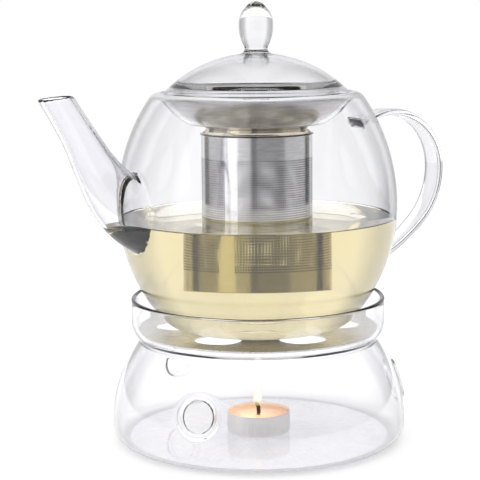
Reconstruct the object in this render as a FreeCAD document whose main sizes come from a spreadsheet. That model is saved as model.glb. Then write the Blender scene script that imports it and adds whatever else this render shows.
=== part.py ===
"""Glass teapot with a steel leaf infuser, standing on its glass tealight warmer.

Frame: millimetres, +Z up, origin at the middle of the warmer's flat base. The spout points to -X and the
handle to +X, and every round piece is turned about the Z axis.
The blown pot, its neck, its drawn spout and its strap handle are glass pieces fused face to face, and so are
the lid's dome, skirt and knob. The infuser hangs in the neck's funnel, and the lid sits on the infuser.
"""

import FreeCAD, Part
import math
import os

import Sketcher

# Driving sizes. Heights of the pot's pieces count from the pot's foot, those of the lid from its skirt's lower
# edge, those of the tealight from the cup's underside, and those of the warmer from the table.
SIZES = {
    # gaps between pieces that lift apart
    "rest_gap": 0.2,
    "seat_gap": 0.25,
    # warmer: one blown glass bowl, a little wider than the pot, with a gallery that holds the plate
    "warmer_spread": 5.1,
    "warmer_arc": 79.8,
    "warmer_corner": 10.0,
    "warmer_wall": 2.6,
    "warmer_floor": 2.0,
    "gallery_inset": 7.0,
    "gallery_corner": 12.5,
    "gallery_rise": 24.6,
    "waist_inset": 5.5,
    "rim_round": 1.5,
    "vent_radius": 8.9,
    "vent_height": 31.0,
    "vent_turn": -24.0,
    "vent_bead": 2.2,
    # warmer plate: a flat steel disc with a ring of round heat holes
    "plate_inset": 3.9,
    "plate_thickness": 1.0,
    "plate_edge": 0.3,
    "plate_hole_radius": 13.2,
    "plate_hole_circle": 47.0,
    "plate_hole_turn": 31.0,
    # pot: belly arcs meet at the widest ring, and the neck turns inward as a funnel
    "pot_radius": 81.5,
    "pot_height": 136.9,
    "belly_height": 71.0,
    "upper_arc": 112.0,
    "lower_arc": 98.7,
    "pot_wall": 2.2,
    "pot_floor": 2.6,
    "foot_round": 21.0,
    "punt_radius": 34.0,
    "punt_slope": 3.0,
    "punt_depth": 1.2,
    "shoulder_round": 7.3,
    "lip_round": 2.6,
    "lip_lean": 60.0,
    "funnel_arc": 40.0,
    "funnel_width": 15.4,
    "funnel_depth": 16.4,
    "funnel_slope": 28.6,
    # spout: a tapering tube drawn through six round stations, from inside the belly to past the mouth
    "root_reach": 60.0,
    "root_height": 62.5,
    "root_lean": 25.0,
    "root_radius": 22.0,
    "mantle_reach": 84.0,
    "mantle_height": 75.5,
    "mantle_lean": 37.0,
    "mantle_radius": 18.2,
    "flare_reach": 94.5,
    "flare_height": 86.2,
    "flare_lean": 49.0,
    "flare_radius": 14.9,
    "bend_reach": 102.5,
    "bend_height": 98.4,
    "bend_lean": 57.5,
    "bend_radius": 12.2,
    "barrel_reach": 110.6,
    "barrel_height": 113.2,
    "barrel_lean": 59.5,
    "barrel_radius": 10.1,
    "tip_reach": 131.5,
    "tip_height": 147.5,
    "tip_lean": 57.6,
    "tip_radius": 8.5,
    "spout_wall": 1.8,
    "mouth_reach": 125.8,
    "mouth_height": 137.6,
    "mouth_lean": 5.0,
    # handle: a flat glass strap bent in one plane
    "strap_width": 15.0,
    "strap_thickness": 3.8,
    "strap_edge": 1.6,
    "handle_reach": 93.0,
    "handle_height": 121.8,
    "handle_inner_arc": 46.0,
    "handle_top_arc": 35.6,
    "handle_side_arc": 45.0,
    "handle_side_turn": 45.0,
    "handle_tail_arc": 105.0,
    "strap_bury": 14.0,
    # infuser: a pressed steel collar, a crimp ring, a perforated basket and its base
    "steel": 0.6,
    "flange_inset": 1.4,
    "neck_inset": 9.3,
    "neck_depth": 20.7,
    "neck_length": 3.6,
    "crimp_overhang": 0.6,
    "crimp_fall": 2.8,
    "crimp_band": 1.0,
    "basket_step": 3.0,
    "basket_wall": 0.4,
    "basket_foot": 31.7,
    "base_thickness": 0.5,
    "base_lip": 3.0,
    # lid: a dome with a locating skirt and a solid glass knob
    "lid_gap": 0.7,
    "lid_rise": 24.1,
    "lid_side": 2.1,
    "lid_wall": 2.4,
    "lid_edge": 0.8,
    "skirt_inset": 5.9,
    "skirt_wall": 2.2,
    "skirt_drop": 5.0,
    "knob_flare": 9.2,
    "knob_flare_round": 3.4,
    "knob_neck_radius": 6.5,
    "knob_neck_height": 2.9,
    "knob_radius": 9.95,
    "knob_middle": 16.0,
    "knob_lower_arc": 26.6,
    "knob_upper_arc": 14.0,
    "knob_crown_radius": 5.6,
    "knob_crown_height": 26.2,
    "knob_height": 29.2,
    # tealight: an aluminium cup of wax, with a wick held by a small clip
    "cup_radius": 18.7,
    "cup_height": 12.5,
    "cup_wall": 0.4,
    "wax_height": 10.9,
    "clip_radius": 7.0,
    "clip_thickness": 0.4,
    "clip_neck_radius": 1.7,
    "clip_neck_height": 4.5,
    "wick_radius": 0.8,
    "wick_straight": 12.2,
    "wick_curl": 6.0,
}

VENTS = 3
PLATE_HOLES = 6
SPOUT_STATIONS = ("root", "mantle", "flare", "bend", "barrel", "tip")
TRIM_SIDE = 60.0  # the side of the block that trims the spout's mouth level


class Size:
    """A number worked out from the sheet: its value now, and the expression that keeps it up to date."""

    def __init__(self, value, text):
        self.value = float(value)
        self.text = text

    def _with(self, other, sign, value):
        other_text = other.text if isinstance(other, Size) else repr(float(other))
        return Size(value, f"({self.text} {sign} {other_text})")

    def __add__(self, other):
        return self._with(other, "+", self.value + number(other))

    def __sub__(self, other):
        return self._with(other, "-", self.value - number(other))

    def __mul__(self, other):
        return self._with(other, "*", self.value * number(other))

    def __truediv__(self, other):
        return self._with(other, "/", self.value / number(other))

    def __neg__(self):
        return Size(-self.value, f"(0 - {self.text})")


class Sheet:
    """The document's spreadsheet of driving sizes, read by name as Size objects."""

    def __init__(self, doc):
        sheet = doc.addObject("Spreadsheet::Sheet", "Sizes")
        for row, (name, value) in enumerate(SIZES.items(), start=1):
            sheet.set(f"A{row}", name)
            sheet.set(f"B{row}", str(value))
            sheet.setAlias(f"B{row}", name)
        doc.recompute()

    def __getattr__(self, name):
        return Size(SIZES[name], f"Sizes.{name}")

    def named(self, name):
        return getattr(self, name)


def number(size):
    return size.value if isinstance(size, Size) else float(size)


def root_of(size):
    return Size(math.sqrt(size.value), f"sqrt({size.text})")


def sine(angle):
    return Size(math.sin(math.radians(angle.value)), f"sin({angle.text} * 1 deg)")


def cosine(angle):
    return Size(math.cos(math.radians(angle.value)), f"cos({angle.text} * 1 deg)")


def leg(longest, other):
    """The third side of a right triangle, from its longest side and one other."""
    return root_of(longest * longest - other * other)


def arc_over(half, rise):
    """Radius of the arc that rises this much over half of its span."""
    return (half * half + rise * rise) / (rise * 2)


def bind(thing, prop, size):
    thing.setExpression(prop, size.text)


def towards(start, end, share):
    """The point a share of the way from start to end."""
    return tuple(a + (b - a) * share for a, b in zip(start, end))


def arc_centre(start, end, radius, side):
    """Centre of the short arc from start to end that turns to the side, 1 for left and -1 for right."""
    run, rise = end[0] - start[0], end[1] - start[1]
    chord = root_of(run * run + rise * rise)
    apart = leg(radius, chord / 2) / chord * side
    return (
        (start[0] + end[0]) / 2 - rise * apart,
        (start[1] + end[1]) / 2 + run * apart,
    )


def corner_round(centre, arc, rounding, level, side):
    """Where a round of the given radius touches a level line and, from inside, an arc about centre.

    side is 1 if the arc lies above the line, as at a foot, and -1 if below, as at a shoulder.
    Returns the touching point on the line and the one on the arc.
    """
    middle = level + rounding * side
    across = leg(arc - rounding, middle - centre[1])
    share = arc / (arc - rounding)
    on_line = (centre[0] + across, level)
    on_arc = (centre[0] + across * share, centre[1] + (middle - centre[1]) * share)
    return on_line, on_arc


LEFT, RIGHT = 1, -1


class Drawing:
    """A sketch drawn as one path, each corner and each radius held by an expression."""

    def __init__(self, body, name, plane="XZ_Plane"):
        self.sketch = body.newObject("Sketcher::SketchObject", name)
        support = next(f for f in body.Origin.OriginFeatures if f.Role == plane)
        self.sketch.AttachmentSupport = (support, [""])
        self.sketch.MapMode = "FlatFace"

    def hold(self, kind, *where):
        """Adds a constraint. The last item may be a Size, which then drives it."""
        size = where[-1]
        if isinstance(size, Size):
            index = self.sketch.addConstraint(Sketcher.Constraint(kind, *where[:-1], size.value))
            self.sketch.setExpression(f"Constraints[{index}]", size.text)
        else:
            self.sketch.addConstraint(Sketcher.Constraint(kind, *where))

    def hold_point(self, geometry, end, point):
        across, up = point
        if abs(across.value) < 1e-9:
            self.hold("PointOnObject", geometry, end, -2)
        else:
            self.hold("DistanceX", -1, 1, geometry, end, across)
        if abs(up.value) < 1e-9:
            self.hold("PointOnObject", geometry, end, -1)
        else:
            self.hold("DistanceY", -1, 1, geometry, end, up)

    def path(self, corners, closed=True):
        """Draws the path. A corner is (across, up), or (across, up, side, radius) where an arc leaves it."""
        count = len(corners) if closed else len(corners) - 1
        ends = []
        for index in range(count):
            here = corners[index]
            there = corners[(index + 1) % len(corners)]
            start = FreeCAD.Vector(here[0].value, here[1].value, 0)
            finish = FreeCAD.Vector(there[0].value, there[1].value, 0)
            if len(here) == 2:
                line = self.sketch.addGeometry(Part.LineSegment(start, finish))
                ends.append((line, 1, 2))
                continue
            side, radius = here[2:]
            x, y = (c.value for c in arc_centre(here[:2], there[:2], radius, side))
            first, last = (start, finish) if side == LEFT else (finish, start)
            angles = [math.atan2(p.y - y, p.x - x) for p in (first, last)]
            circle = Part.Circle(FreeCAD.Vector(x, y, 0), FreeCAD.Vector(0, 0, 1), radius.value)
            arc = self.sketch.addGeometry(Part.ArcOfCircle(circle, *angles))
            ends.append((arc, 1, 2) if side == LEFT else (arc, 2, 1))
            self.hold("Radius", arc, radius)
        for index, (geometry, start_end, finish_end) in enumerate(ends):
            self.hold_point(geometry, start_end, corners[index][:2])
            if closed or index + 1 < count:
                following = ends[(index + 1) % count]
                self.hold("Coincident", geometry, finish_end, following[0], following[1])
        if not closed:
            self.hold_point(ends[-1][0], ends[-1][2], corners[-1][:2])
        return self.sketch

    def circle(self, across, up, radius):
        centre = FreeCAD.Vector(across.value, up.value, 0)
        made = self.sketch.addGeometry(Part.Circle(centre, FreeCAD.Vector(0, 0, 1), radius.value))
        self.hold("Radius", made, radius)
        self.hold_point(made, 3, (across, up))
        return self.sketch


def turned(doc, name, corners):
    """A body made by turning a closed outline about the Z axis."""
    body = doc.addObject("PartDesign::Body", name)
    sketch = Drawing(body, name + "_outline").path(corners)
    turn = body.newObject("PartDesign::Revolution", name + "_turn")
    turn.Profile = sketch
    turn.ReferenceAxis = (sketch, ["V_Axis"])
    turn.Angle = 360.0
    sketch.Visibility = False
    return body


def cut(doc, name, base, tool):
    made = doc.addObject("Part::Cut", name)
    made.Base = base
    made.Tool = tool
    return made


class Teapot:
    """Builds every piece into one document. self.parts holds the finished pieces by node name."""

    def __init__(self, doc):
        self.doc = doc
        self.s = Sheet(doc)
        self.parts = {}

    def finish(self, thing, label, height=None):
        """Keeps a finished piece, lifted to its height above the table."""
        thing.Label = label
        if height is not None:
            bind(thing, "Placement.Base.z", height)
        self.parts[label] = thing

    # ---- places that several pieces share

    @property
    def zero(self):
        return Size(0.0, "0")

    def warmer_radius(self):
        return self.s.pot_radius + self.s.warmer_spread

    def gallery_radius(self):
        return self.s.pot_radius - self.s.gallery_inset

    def plate_radius(self):
        return self.gallery_radius() - self.s.plate_inset

    def warmer_centre(self):
        """Centre of the warmer's belly arc."""
        return (self.warmer_radius() - self.s.warmer_arc, self.s.warmer_corner)

    def waist(self):
        s = self.s
        centre, up = self.warmer_centre()
        across = self.gallery_radius() - s.waist_inset
        return (across, up + leg(s.warmer_arc, across - centre))

    def gallery_centre(self):
        """Centre of the round that carries the waist out to the gallery's straight wall."""
        s = self.s
        across = self.gallery_radius() - s.gallery_corner
        waist = self.waist()
        return (across, waist[1] + leg(s.gallery_corner, waist[0] - across))

    def plate_height(self):
        """Underside of the plate, where its edge meets the gallery's inner round."""
        s = self.s
        across, up = self.gallery_centre()
        return up - leg(s.gallery_corner - s.warmer_wall, self.plate_radius() - across) + s.rest_gap

    def pot_height_on_plate(self):
        return self.plate_height() + self.s.plate_thickness + self.s.rest_gap

    def upper_centre(self):
        s = self.s
        return (s.pot_radius - s.upper_arc, s.belly_height)

    def lower_centre(self):
        s = self.s
        return (s.pot_radius - s.lower_arc, s.belly_height)

    def shoulder(self):
        s = self.s
        return corner_round(self.upper_centre(), s.upper_arc, s.shoulder_round, s.pot_height, -1)

    def funnel(self):
        """Upper and lower end of the funnel's seat."""
        s = self.s
        top = self.shoulder()[0][0]
        upper = (
            top - s.lip_round * sine(s.lip_lean),
            s.pot_height - s.lip_round + s.lip_round * cosine(s.lip_lean),
        )
        return upper, (upper[0] - s.funnel_width, s.pot_height - s.funnel_depth)

    def neck_radius(self):
        """Outer radius of the collar's neck, well inside the funnel's lower end."""
        return self.funnel()[1][0] - self.s.neck_inset

    def basket_radius(self):
        return self.neck_radius() + self.s.basket_step

    def lid_radius(self):
        return self.funnel()[0][0] - self.s.lid_gap

    def seat_point(self, across, inward):
        """A point of the seat's arc, moved inward from the glass by a distance."""
        upper, lower = self.funnel()
        middle, level = arc_centre(upper, lower, self.s.funnel_arc, RIGHT)
        return (across, level - leg(self.s.funnel_arc - inward, across - middle))

    def lid_height(self):
        """The skirt's lower edge above the pot's foot, with the lid's rim resting on the collar's flange."""
        s = self.s
        flange = self.seat_point(self.funnel()[0][0] - s.flange_inset, s.seat_gap + s.steel)
        return flange[1] + s.seat_gap - s.skirt_drop

    # ---- warmer

    def make_warmer(self):
        s, zero = self.s, self.zero
        belly, gallery, waist = self.warmer_centre(), self.gallery_centre(), self.waist()
        wall, corner = s.warmer_wall, s.warmer_corner
        outer, upright = self.warmer_radius(), self.gallery_radius()
        inner_belly = towards(belly, waist, (s.warmer_arc - wall) / s.warmer_arc)
        inner_gallery = towards(gallery, waist, (s.gallery_corner - wall) / s.gallery_corner)
        inner_corner = corner - wall
        inner_round = (outer - wall - inner_corner, s.warmer_floor)
        top = waist[1] + s.gallery_rise
        rim = top - s.rim_round
        shell = turned(
            self.doc,
            "warmer_shell",
            [
                (zero, zero),
                (outer - corner, zero, LEFT, corner),
                (outer, corner, LEFT, s.warmer_arc),
                (*waist, LEFT, s.gallery_corner),
                (upright, gallery[1]),
                (upright, rim, LEFT, s.rim_round),
                (upright - wall / 2, top, LEFT, s.rim_round),
                (upright - wall, rim),
                (upright - wall, gallery[1], RIGHT, s.gallery_corner - wall),
                (*inner_gallery, LEFT, wall),
                (*inner_belly, RIGHT, s.warmer_arc - wall),
                (outer - wall, s.warmer_floor + inner_corner, RIGHT, inner_corner),
                inner_round,
                (zero, s.warmer_floor),
            ],
        )
        beads, drills = [], []
        for index in range(VENTS):
            beads.append(self.vent_tool("Part::Torus", f"vent_bead_{index}", index))
            drills.append(self.vent_tool("Part::Cylinder", f"vent_drill_{index}", index))
        beaded = self.doc.addObject("Part::MultiFuse", "warmer_beaded")
        beaded.Shapes = [shell, *beads]
        drill = self.doc.addObject("Part::MultiFuse", "vent_drills")
        drill.Shapes = drills
        self.finish(cut(self.doc, "warmer_cut", beaded, drill), "warmer_body")

    def vent_tool(self, kind, name, index):
        """A bead or a drill for one vent, square to the belly's wall."""
        s = self.s
        belly = self.warmer_centre()
        arc = s.warmer_arc - s.warmer_wall / 2
        rise = s.vent_height - belly[1]
        across = belly[0] + leg(arc, rise)
        lean = Size(
            math.degrees(math.asin(rise.value / arc.value)), f"(asin({rise.text} / {arc.text}) / 1 deg)"
        )
        turn = s.vent_turn + 360.0 / VENTS * (index - 1)
        tool = self.doc.addObject(kind, name)
        start = self.zero
        if kind == "Part::Torus":
            bind(tool, "Radius1", s.vent_radius + s.vent_bead * 0.85)
            bind(tool, "Radius2", s.vent_bead)
        else:
            bind(tool, "Radius", s.vent_radius)
            bind(tool, "Height", s.warmer_wall * 6)
            start = -(s.warmer_wall * 3)
        out, up = cosine(lean), sine(lean)
        bind(tool, "Placement.Base.x", (across + start * out) * cosine(turn))
        bind(tool, "Placement.Base.y", (across + start * out) * sine(turn))
        bind(tool, "Placement.Base.z", s.vent_height + start * up)
        tilt = Size(90.0 - lean.value, f"(90 - {lean.text})")
        tool.Placement.Rotation = FreeCAD.Rotation(turn.value, tilt.value, 0.0)
        bind(tool, "Placement.Rotation.Yaw", turn)
        bind(tool, "Placement.Rotation.Pitch", tilt)
        return tool

    def make_plate(self):
        s, zero = self.s, self.zero
        body = self.doc.addObject("PartDesign::Body", "plate")
        disc = body.newObject("PartDesign::Pad", "plate_disc")
        disc.Profile = Drawing(body, "plate_outline", "XY_Plane").circle(zero, zero, self.plate_radius())
        bind(disc, "Length", s.plate_thickness)
        self.doc.recompute()
        edge = body.newObject("PartDesign::Fillet", "plate_edge")
        edge.Base = (disc, ["Edge1", "Edge3"])
        bind(edge, "Radius", s.plate_edge)
        hole = body.newObject("PartDesign::Pocket", "plate_hole")
        across = s.plate_hole_circle * cosine(s.plate_hole_turn)
        up = s.plate_hole_circle * sine(s.plate_hole_turn)
        hole.Profile = Drawing(body, "plate_hole_outline", "XY_Plane").circle(
            across, up, s.plate_hole_radius
        )
        hole.Type = "ThroughAll"
        hole.Midplane = True
        holes = body.newObject("PartDesign::PolarPattern", "plate_holes")
        holes.Originals = [hole]
        axis = next(f for f in body.Origin.OriginFeatures if f.Role == "Z_Axis")
        holes.Axis = (axis, [""])
        holes.Angle = 360.0
        holes.Occurrences = PLATE_HOLES
        body.Tip = holes
        self.finish(body, "warmer_plate", self.plate_height())

    # ---- pot

    def pot_outside(self):
        """The pot's outer line, from the edge of its foot ring to the top of its lip."""
        s, zero = self.s, self.zero
        foot, belly = corner_round(self.lower_centre(), s.lower_arc, s.foot_round, zero, 1)
        lip, shoulder = self.shoulder()
        return [
            (*foot, LEFT, s.foot_round),
            (*belly, LEFT, s.lower_arc),
            (s.pot_radius, s.belly_height, LEFT, s.upper_arc),
            (*shoulder, LEFT, s.shoulder_round),
            lip,
        ]

    def inner_shoulder(self):
        s = self.s
        return corner_round(
            self.upper_centre(),
            s.upper_arc - s.pot_wall,
            s.shoulder_round - s.pot_wall,
            s.pot_height - s.pot_wall,
            -1,
        )[1]

    def make_pot(self):
        s, zero = self.s, self.zero
        wall = s.pot_wall
        floor, belly = corner_round(
            self.lower_centre(), s.lower_arc - wall, s.foot_round - wall, s.pot_floor, 1
        )
        shell = turned(
            self.doc,
            "pot_shell",
            [
                (zero, s.punt_depth),
                (s.punt_radius, s.punt_depth),
                (s.punt_radius + s.punt_slope, zero),
                *self.pot_outside()[:-2],
                self.shoulder()[1],
                (*self.inner_shoulder(), RIGHT, s.upper_arc - wall),
                (s.pot_radius - wall, s.belly_height, RIGHT, s.lower_arc - wall),
                (*belly, RIGHT, s.foot_round - wall),
                floor,
                (zero, s.pot_floor),
            ],
        )
        bore = self.spout_loft("spout_bore", s.spout_wall)
        self.finish(cut(self.doc, "pot_bored", shell, bore), "pot_body", self.pot_height_on_plate())

    def make_neck(self):
        """The pot's rounded mouth, whose lip runs down inside as the funnel."""
        s, wall = self.s, self.s.pot_wall
        shoulder, lip = self.pot_outside()[-2:]
        upper, lower = self.funnel()
        under = (
            lower[0] + wall * sine(s.funnel_slope),
            lower[1] - wall * cosine(s.funnel_slope),
        )
        fold = (lip[0], s.pot_height - wall)
        neck = turned(
            self.doc,
            "neck",
            [
                shoulder,
                (*lip, LEFT, s.lip_round),
                (*upper, RIGHT, s.funnel_arc),
                (*lower, LEFT, wall * 0.6),
                (*under, LEFT, s.funnel_arc + wall),
                (*fold, RIGHT, s.shoulder_round - wall),
                self.inner_shoulder(),
            ],
        )
        self.finish(neck, "pot_neck", self.pot_height_on_plate())

    def filled_pot(self, name):
        """The pot's outer shape as one block, which trims the glass that is fused to it."""
        zero = self.zero
        outside = self.pot_outside()
        return turned(self.doc, name, [(zero, zero), *outside, (zero, self.s.pot_height)])

    def spout_loft(self, name, inset):
        """A tube's block through the spout's stations, each taken in by the inset."""
        stations = []
        for station in SPOUT_STATIONS:
            ring = self.doc.addObject("Part::Circle", f"{name}_{station}")
            lean = self.s.named(station + "_lean")
            bind(ring, "Radius", self.s.named(station + "_radius") - inset)
            ring.Placement.Rotation = FreeCAD.Rotation(0.0, lean.value - 90.0, 0.0)
            bind(ring, "Placement.Rotation.Pitch", lean - 90.0)
            bind(ring, "Placement.Base.x", -self.s.named(station + "_reach"))
            bind(ring, "Placement.Base.z", self.s.named(station + "_height"))
            stations.append(ring)
        loft = self.doc.addObject("Part::Loft", name)
        loft.Sections = stations
        loft.Solid = True
        return loft

    def make_spout(self):
        s, doc = self.s, self.doc
        tube = cut(doc, "spout_tube", self.spout_loft("spout_block", self.zero),
                   self.spout_loft("spout_inside", s.spout_wall))
        trim = doc.addObject("Part::Box", "spout_trim")
        for side in ("Length", "Width", "Height"):
            setattr(trim, side, TRIM_SIDE)
        lean = s.mouth_lean
        trim.Placement.Rotation = FreeCAD.Rotation(0.0, -lean.value, 0.0)
        bind(trim, "Placement.Rotation.Pitch", -lean)
        half = TRIM_SIDE / 2
        bind(trim, "Placement.Base.x", -s.mouth_reach - cosine(lean) * half)
        bind(trim, "Placement.Base.z", s.mouth_height - sine(lean) * half)
        trim.Placement.Base.y = -half
        level = cut(doc, "spout_level", tube, trim)
        made = cut(doc, "spout_fused", level, self.filled_pot("spout_seat"))
        self.finish(made, "pot_spout", self.pot_height_on_plate())

    def make_handle(self):
        s, doc = self.s, self.doc
        body = doc.addObject("PartDesign::Body", "strap")
        top = (s.handle_reach, s.handle_height)
        buried = s.pot_radius - s.strap_bury
        side_centre_height = top[1] - s.handle_top_arc
        side = (top[0] + s.handle_top_arc, side_centre_height)
        side_centre = (side[0] - s.handle_side_arc, side[1])
        tail = (
            side_centre[0] + s.handle_side_arc * cosine(s.handle_side_turn),
            side_centre[1] - s.handle_side_arc * sine(s.handle_side_turn),
        )
        tail_centre = towards(tail, side_centre, s.handle_tail_arc / s.handle_side_arc)
        tail_end = (buried, tail_centre[1] - leg(s.handle_tail_arc, buried - tail_centre[0]))
        inner_centre = (top[0], top[1] - s.handle_inner_arc)
        inner_end = (buried, inner_centre[1] + leg(s.handle_inner_arc, top[0] - buried))
        outer_spine = Drawing(body, "strap_outer_spine").path(
            [
                (*top, RIGHT, s.handle_top_arc),
                (*side, RIGHT, s.handle_side_arc),
                (*tail, RIGHT, s.handle_tail_arc),
                tail_end,
            ],
            closed=False,
        )
        inner_spine = Drawing(body, "strap_inner_spine").path(
            [(*top, LEFT, s.handle_inner_arc), inner_end], closed=False
        )
        section = Drawing(body, "strap_section", "YZ_Plane")
        bind(section.sketch, "AttachmentOffset.Base.z", s.handle_reach)
        half, thick, edge = s.strap_width / 2, s.strap_thickness / 2, s.strap_edge
        low, high = top[1] - thick, top[1] + thick
        section.path(
            [
                (-(half - edge), low),
                (half - edge, low, LEFT, edge),
                (half, low + edge),
                (half, high - edge, LEFT, edge),
                (half - edge, high),
                (-(half - edge), high, LEFT, edge),
                (-half, high - edge),
                (-half, low + edge, LEFT, edge),
            ]
        )
        doc.recompute()
        for name, spine in (("strap_outer", outer_spine), ("strap_inner", inner_spine)):
            pipe = body.newObject("PartDesign::AdditivePipe", name)
            pipe.Profile = section.sketch
            pipe.Spine = spine
            doc.recompute()
        made = cut(doc, "strap_fused", body, self.filled_pot("handle_seat"))
        self.finish(made, "pot_handle", self.pot_height_on_plate())

    # ---- infuser

    def make_infuser(self):
        s, doc = self.s, self.doc
        height = self.pot_height_on_plate()
        outer = self.funnel()[0][0] - s.flange_inset
        under, over = s.seat_gap, s.seat_gap + s.steel
        throat = self.funnel()[1][0]
        neck, steel = self.neck_radius(), s.steel
        neck_height = s.pot_height - s.neck_depth
        collar = turned(
            doc,
            "collar",
            [
                (neck - steel, neck_height - s.neck_length),
                (neck, neck_height - s.neck_length),
                (neck, neck_height),
                (*self.seat_point(throat, under), LEFT, s.funnel_arc - under),
                self.seat_point(outer, under),
                (*self.seat_point(outer, over), RIGHT, s.funnel_arc - over),
                self.seat_point(throat, over),
                (neck - steel, neck_height + steel),
            ],
        )
        self.finish(collar, "infuser_collar", height)
        basket_radius = self.basket_radius()
        crimp_radius = basket_radius + s.crimp_overhang
        band_top = neck_height - s.crimp_fall
        band_foot = band_top - s.crimp_band
        crimp = turned(
            doc,
            "crimp",
            [
                (neck, band_foot),
                (crimp_radius, band_foot),
                (crimp_radius, band_top),
                (neck, neck_height - steel),
            ],
        )
        self.finish(crimp, "infuser_rim", height)
        inside = basket_radius - s.basket_wall
        basket = turned(
            doc,
            "basket",
            [
                (inside, s.basket_foot),
                (basket_radius, s.basket_foot),
                (basket_radius, band_foot),
                (inside, band_foot),
            ],
        )
        self.finish(basket, "infuser_basket", height)
        foot = s.basket_foot
        base_under = foot - s.base_thickness
        base = turned(
            doc,
            "base",
            [
                (self.zero, base_under),
                (basket_radius, base_under),
                (basket_radius, foot),
                (inside, foot),
                (inside, foot + s.base_lip),
                (inside - s.base_thickness, foot + s.base_lip),
                (inside - s.base_thickness, foot),
                (self.zero, foot),
            ],
        )
        self.finish(base, "infuser_base", height)

    # ---- lid

    def make_lid(self):
        s, zero, doc = self.s, self.zero, self.doc
        height = self.pot_height_on_plate() + self.lid_height()
        rim, wall, edge = s.skirt_drop, s.lid_wall, s.lid_edge
        radius = self.lid_radius()
        apex = rim + s.lid_rise
        outer_arc = arc_over(radius, s.lid_rise - s.lid_side)
        inner_arc = outer_arc - wall
        centre = apex - outer_arc
        inside = radius - wall

        def outer_level(across):
            return centre + leg(outer_arc, across)

        def inner_level(across):
            return centre + leg(inner_arc, across)

        dome = turned(
            doc,
            "dome",
            [
                (zero, apex - wall, RIGHT, inner_arc),
                (inside, inner_level(inside)),
                (inside, rim),
                (radius - edge, rim, LEFT, edge),
                (radius, rim + edge),
                (radius, outer_level(radius), LEFT, outer_arc),
                (zero, apex),
            ],
        )
        self.finish(dome, "lid_dome", height)
        skirt_radius = radius - s.skirt_inset
        skirt_inside = skirt_radius - s.skirt_wall
        skirt = turned(
            doc,
            "skirt",
            [
                (skirt_inside, zero),
                (skirt_radius, zero),
                (skirt_radius, inner_level(skirt_radius), LEFT, inner_arc),
                (skirt_inside, inner_level(skirt_inside)),
            ],
        )
        self.finish(skirt, "lid_skirt", height)
        crown, crown_rise = s.knob_crown_radius, s.knob_height - s.knob_crown_height
        knob = turned(
            doc,
            "knob",
            [
                (zero, apex, RIGHT, outer_arc),
                (s.knob_flare, outer_level(s.knob_flare), RIGHT, s.knob_flare_round),
                (s.knob_neck_radius, apex + s.knob_neck_height, LEFT, s.knob_lower_arc),
                (s.knob_radius, apex + s.knob_middle, LEFT, s.knob_upper_arc),
                (crown, apex + s.knob_crown_height, LEFT, arc_over(crown, crown_rise)),
                (zero, apex + s.knob_height),
            ],
        )
        self.finish(knob, "lid_knob", height)

    # ---- tealight

    def make_tealight(self):
        s, zero, doc = self.s, self.zero, self.doc
        height = s.warmer_floor + s.rest_gap
        inside = s.cup_radius - s.cup_wall
        cup = turned(
            doc,
            "cup",
            [
                (zero, zero),
                (s.cup_radius, zero),
                (s.cup_radius, s.cup_height),
                (inside, s.cup_height),
                (inside, s.cup_wall),
                (zero, s.cup_wall),
            ],
        )
        self.finish(cup, "tealight_cup", height)
        clip_top = s.cup_wall + s.clip_thickness
        clip = turned(
            doc,
            "clip",
            [
                (zero, s.cup_wall),
                (s.clip_radius, s.cup_wall),
                (s.clip_radius, clip_top),
                (s.clip_neck_radius, clip_top),
                (s.clip_neck_radius, s.clip_neck_height),
                (s.wick_radius, s.clip_neck_height),
                (s.wick_radius, clip_top),
                (zero, clip_top),
            ],
        )
        self.finish(clip, "tealight_wick_clip", height)
        wick = doc.addObject("PartDesign::Body", "wick")
        spine = Drawing(wick, "wick_spine").path(
            [
                (zero, clip_top),
                (zero, s.wick_straight, LEFT, s.wick_curl),
                (-(s.wick_curl * 0.5), s.wick_straight + leg(s.wick_curl, s.wick_curl * 0.5)),
            ],
            closed=False,
        )
        section = Drawing(wick, "wick_section", "XY_Plane")
        bind(section.sketch, "AttachmentOffset.Base.z", clip_top)
        section.circle(zero, zero, s.wick_radius)
        doc.recompute()
        pipe = wick.newObject("PartDesign::AdditivePipe", "wick_pipe")
        pipe.Profile = section.sketch
        pipe.Spine = spine
        self.finish(wick, "tealight_wick", height)
        wax = turned(
            doc,
            "wax",
            [
                (s.clip_radius, s.cup_wall),
                (inside, s.cup_wall),
                (inside, s.wax_height),
                (s.wick_radius, s.wax_height),
                (s.wick_radius, s.clip_neck_height),
                (s.clip_neck_radius, s.clip_neck_height),
                (s.clip_neck_radius, clip_top),
                (s.clip_radius, clip_top),
            ],
        )
        self.finish(wax, "tealight_wax", height)


def main():
    doc = FreeCAD.newDocument("teapot")
    pot = Teapot(doc)
    pot.make_warmer()
    pot.make_plate()
    pot.make_pot()
    pot.make_neck()
    pot.make_spout()
    pot.make_handle()
    pot.make_infuser()
    pot.make_lid()
    pot.make_tealight()
    doc.recompute()
    for thing in doc.Objects:
        if "Invalid" in thing.State or "Error" in thing.State:
            raise RuntimeError(f"{thing.Name} failed to rebuild: {thing.State}")
    os.makedirs("parts", exist_ok=True)
    for label, thing in pot.parts.items():
        shape = thing.Shape
        if shape.isNull() or not shape.isValid():
            raise RuntimeError(f"{label} is not a sound solid")
        print(label, len(shape.Solids), round(shape.Volume, 1))
        shape.exportStep(f"parts/{label}.step")


main()
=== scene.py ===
"""Glass teapot with a steel leaf infuser, standing on its glass tealight warmer.

The glass pieces, the steel, the tea, the candle and its flame are built and dressed here, around the frame
that holds the sizes. Lengths are in millimetres until a mesh is made, and the frame's own axes are used
throughout: +Z is up, the spout points to -X and the handle to +X.
"""

import sys
import logging
import math
from collections.abc import Callable, Sequence
from dataclasses import dataclass, field
from enum import Enum

import bmesh
import bpy
import numpy as np
from mathutils import Euler, Matrix, Vector


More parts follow.
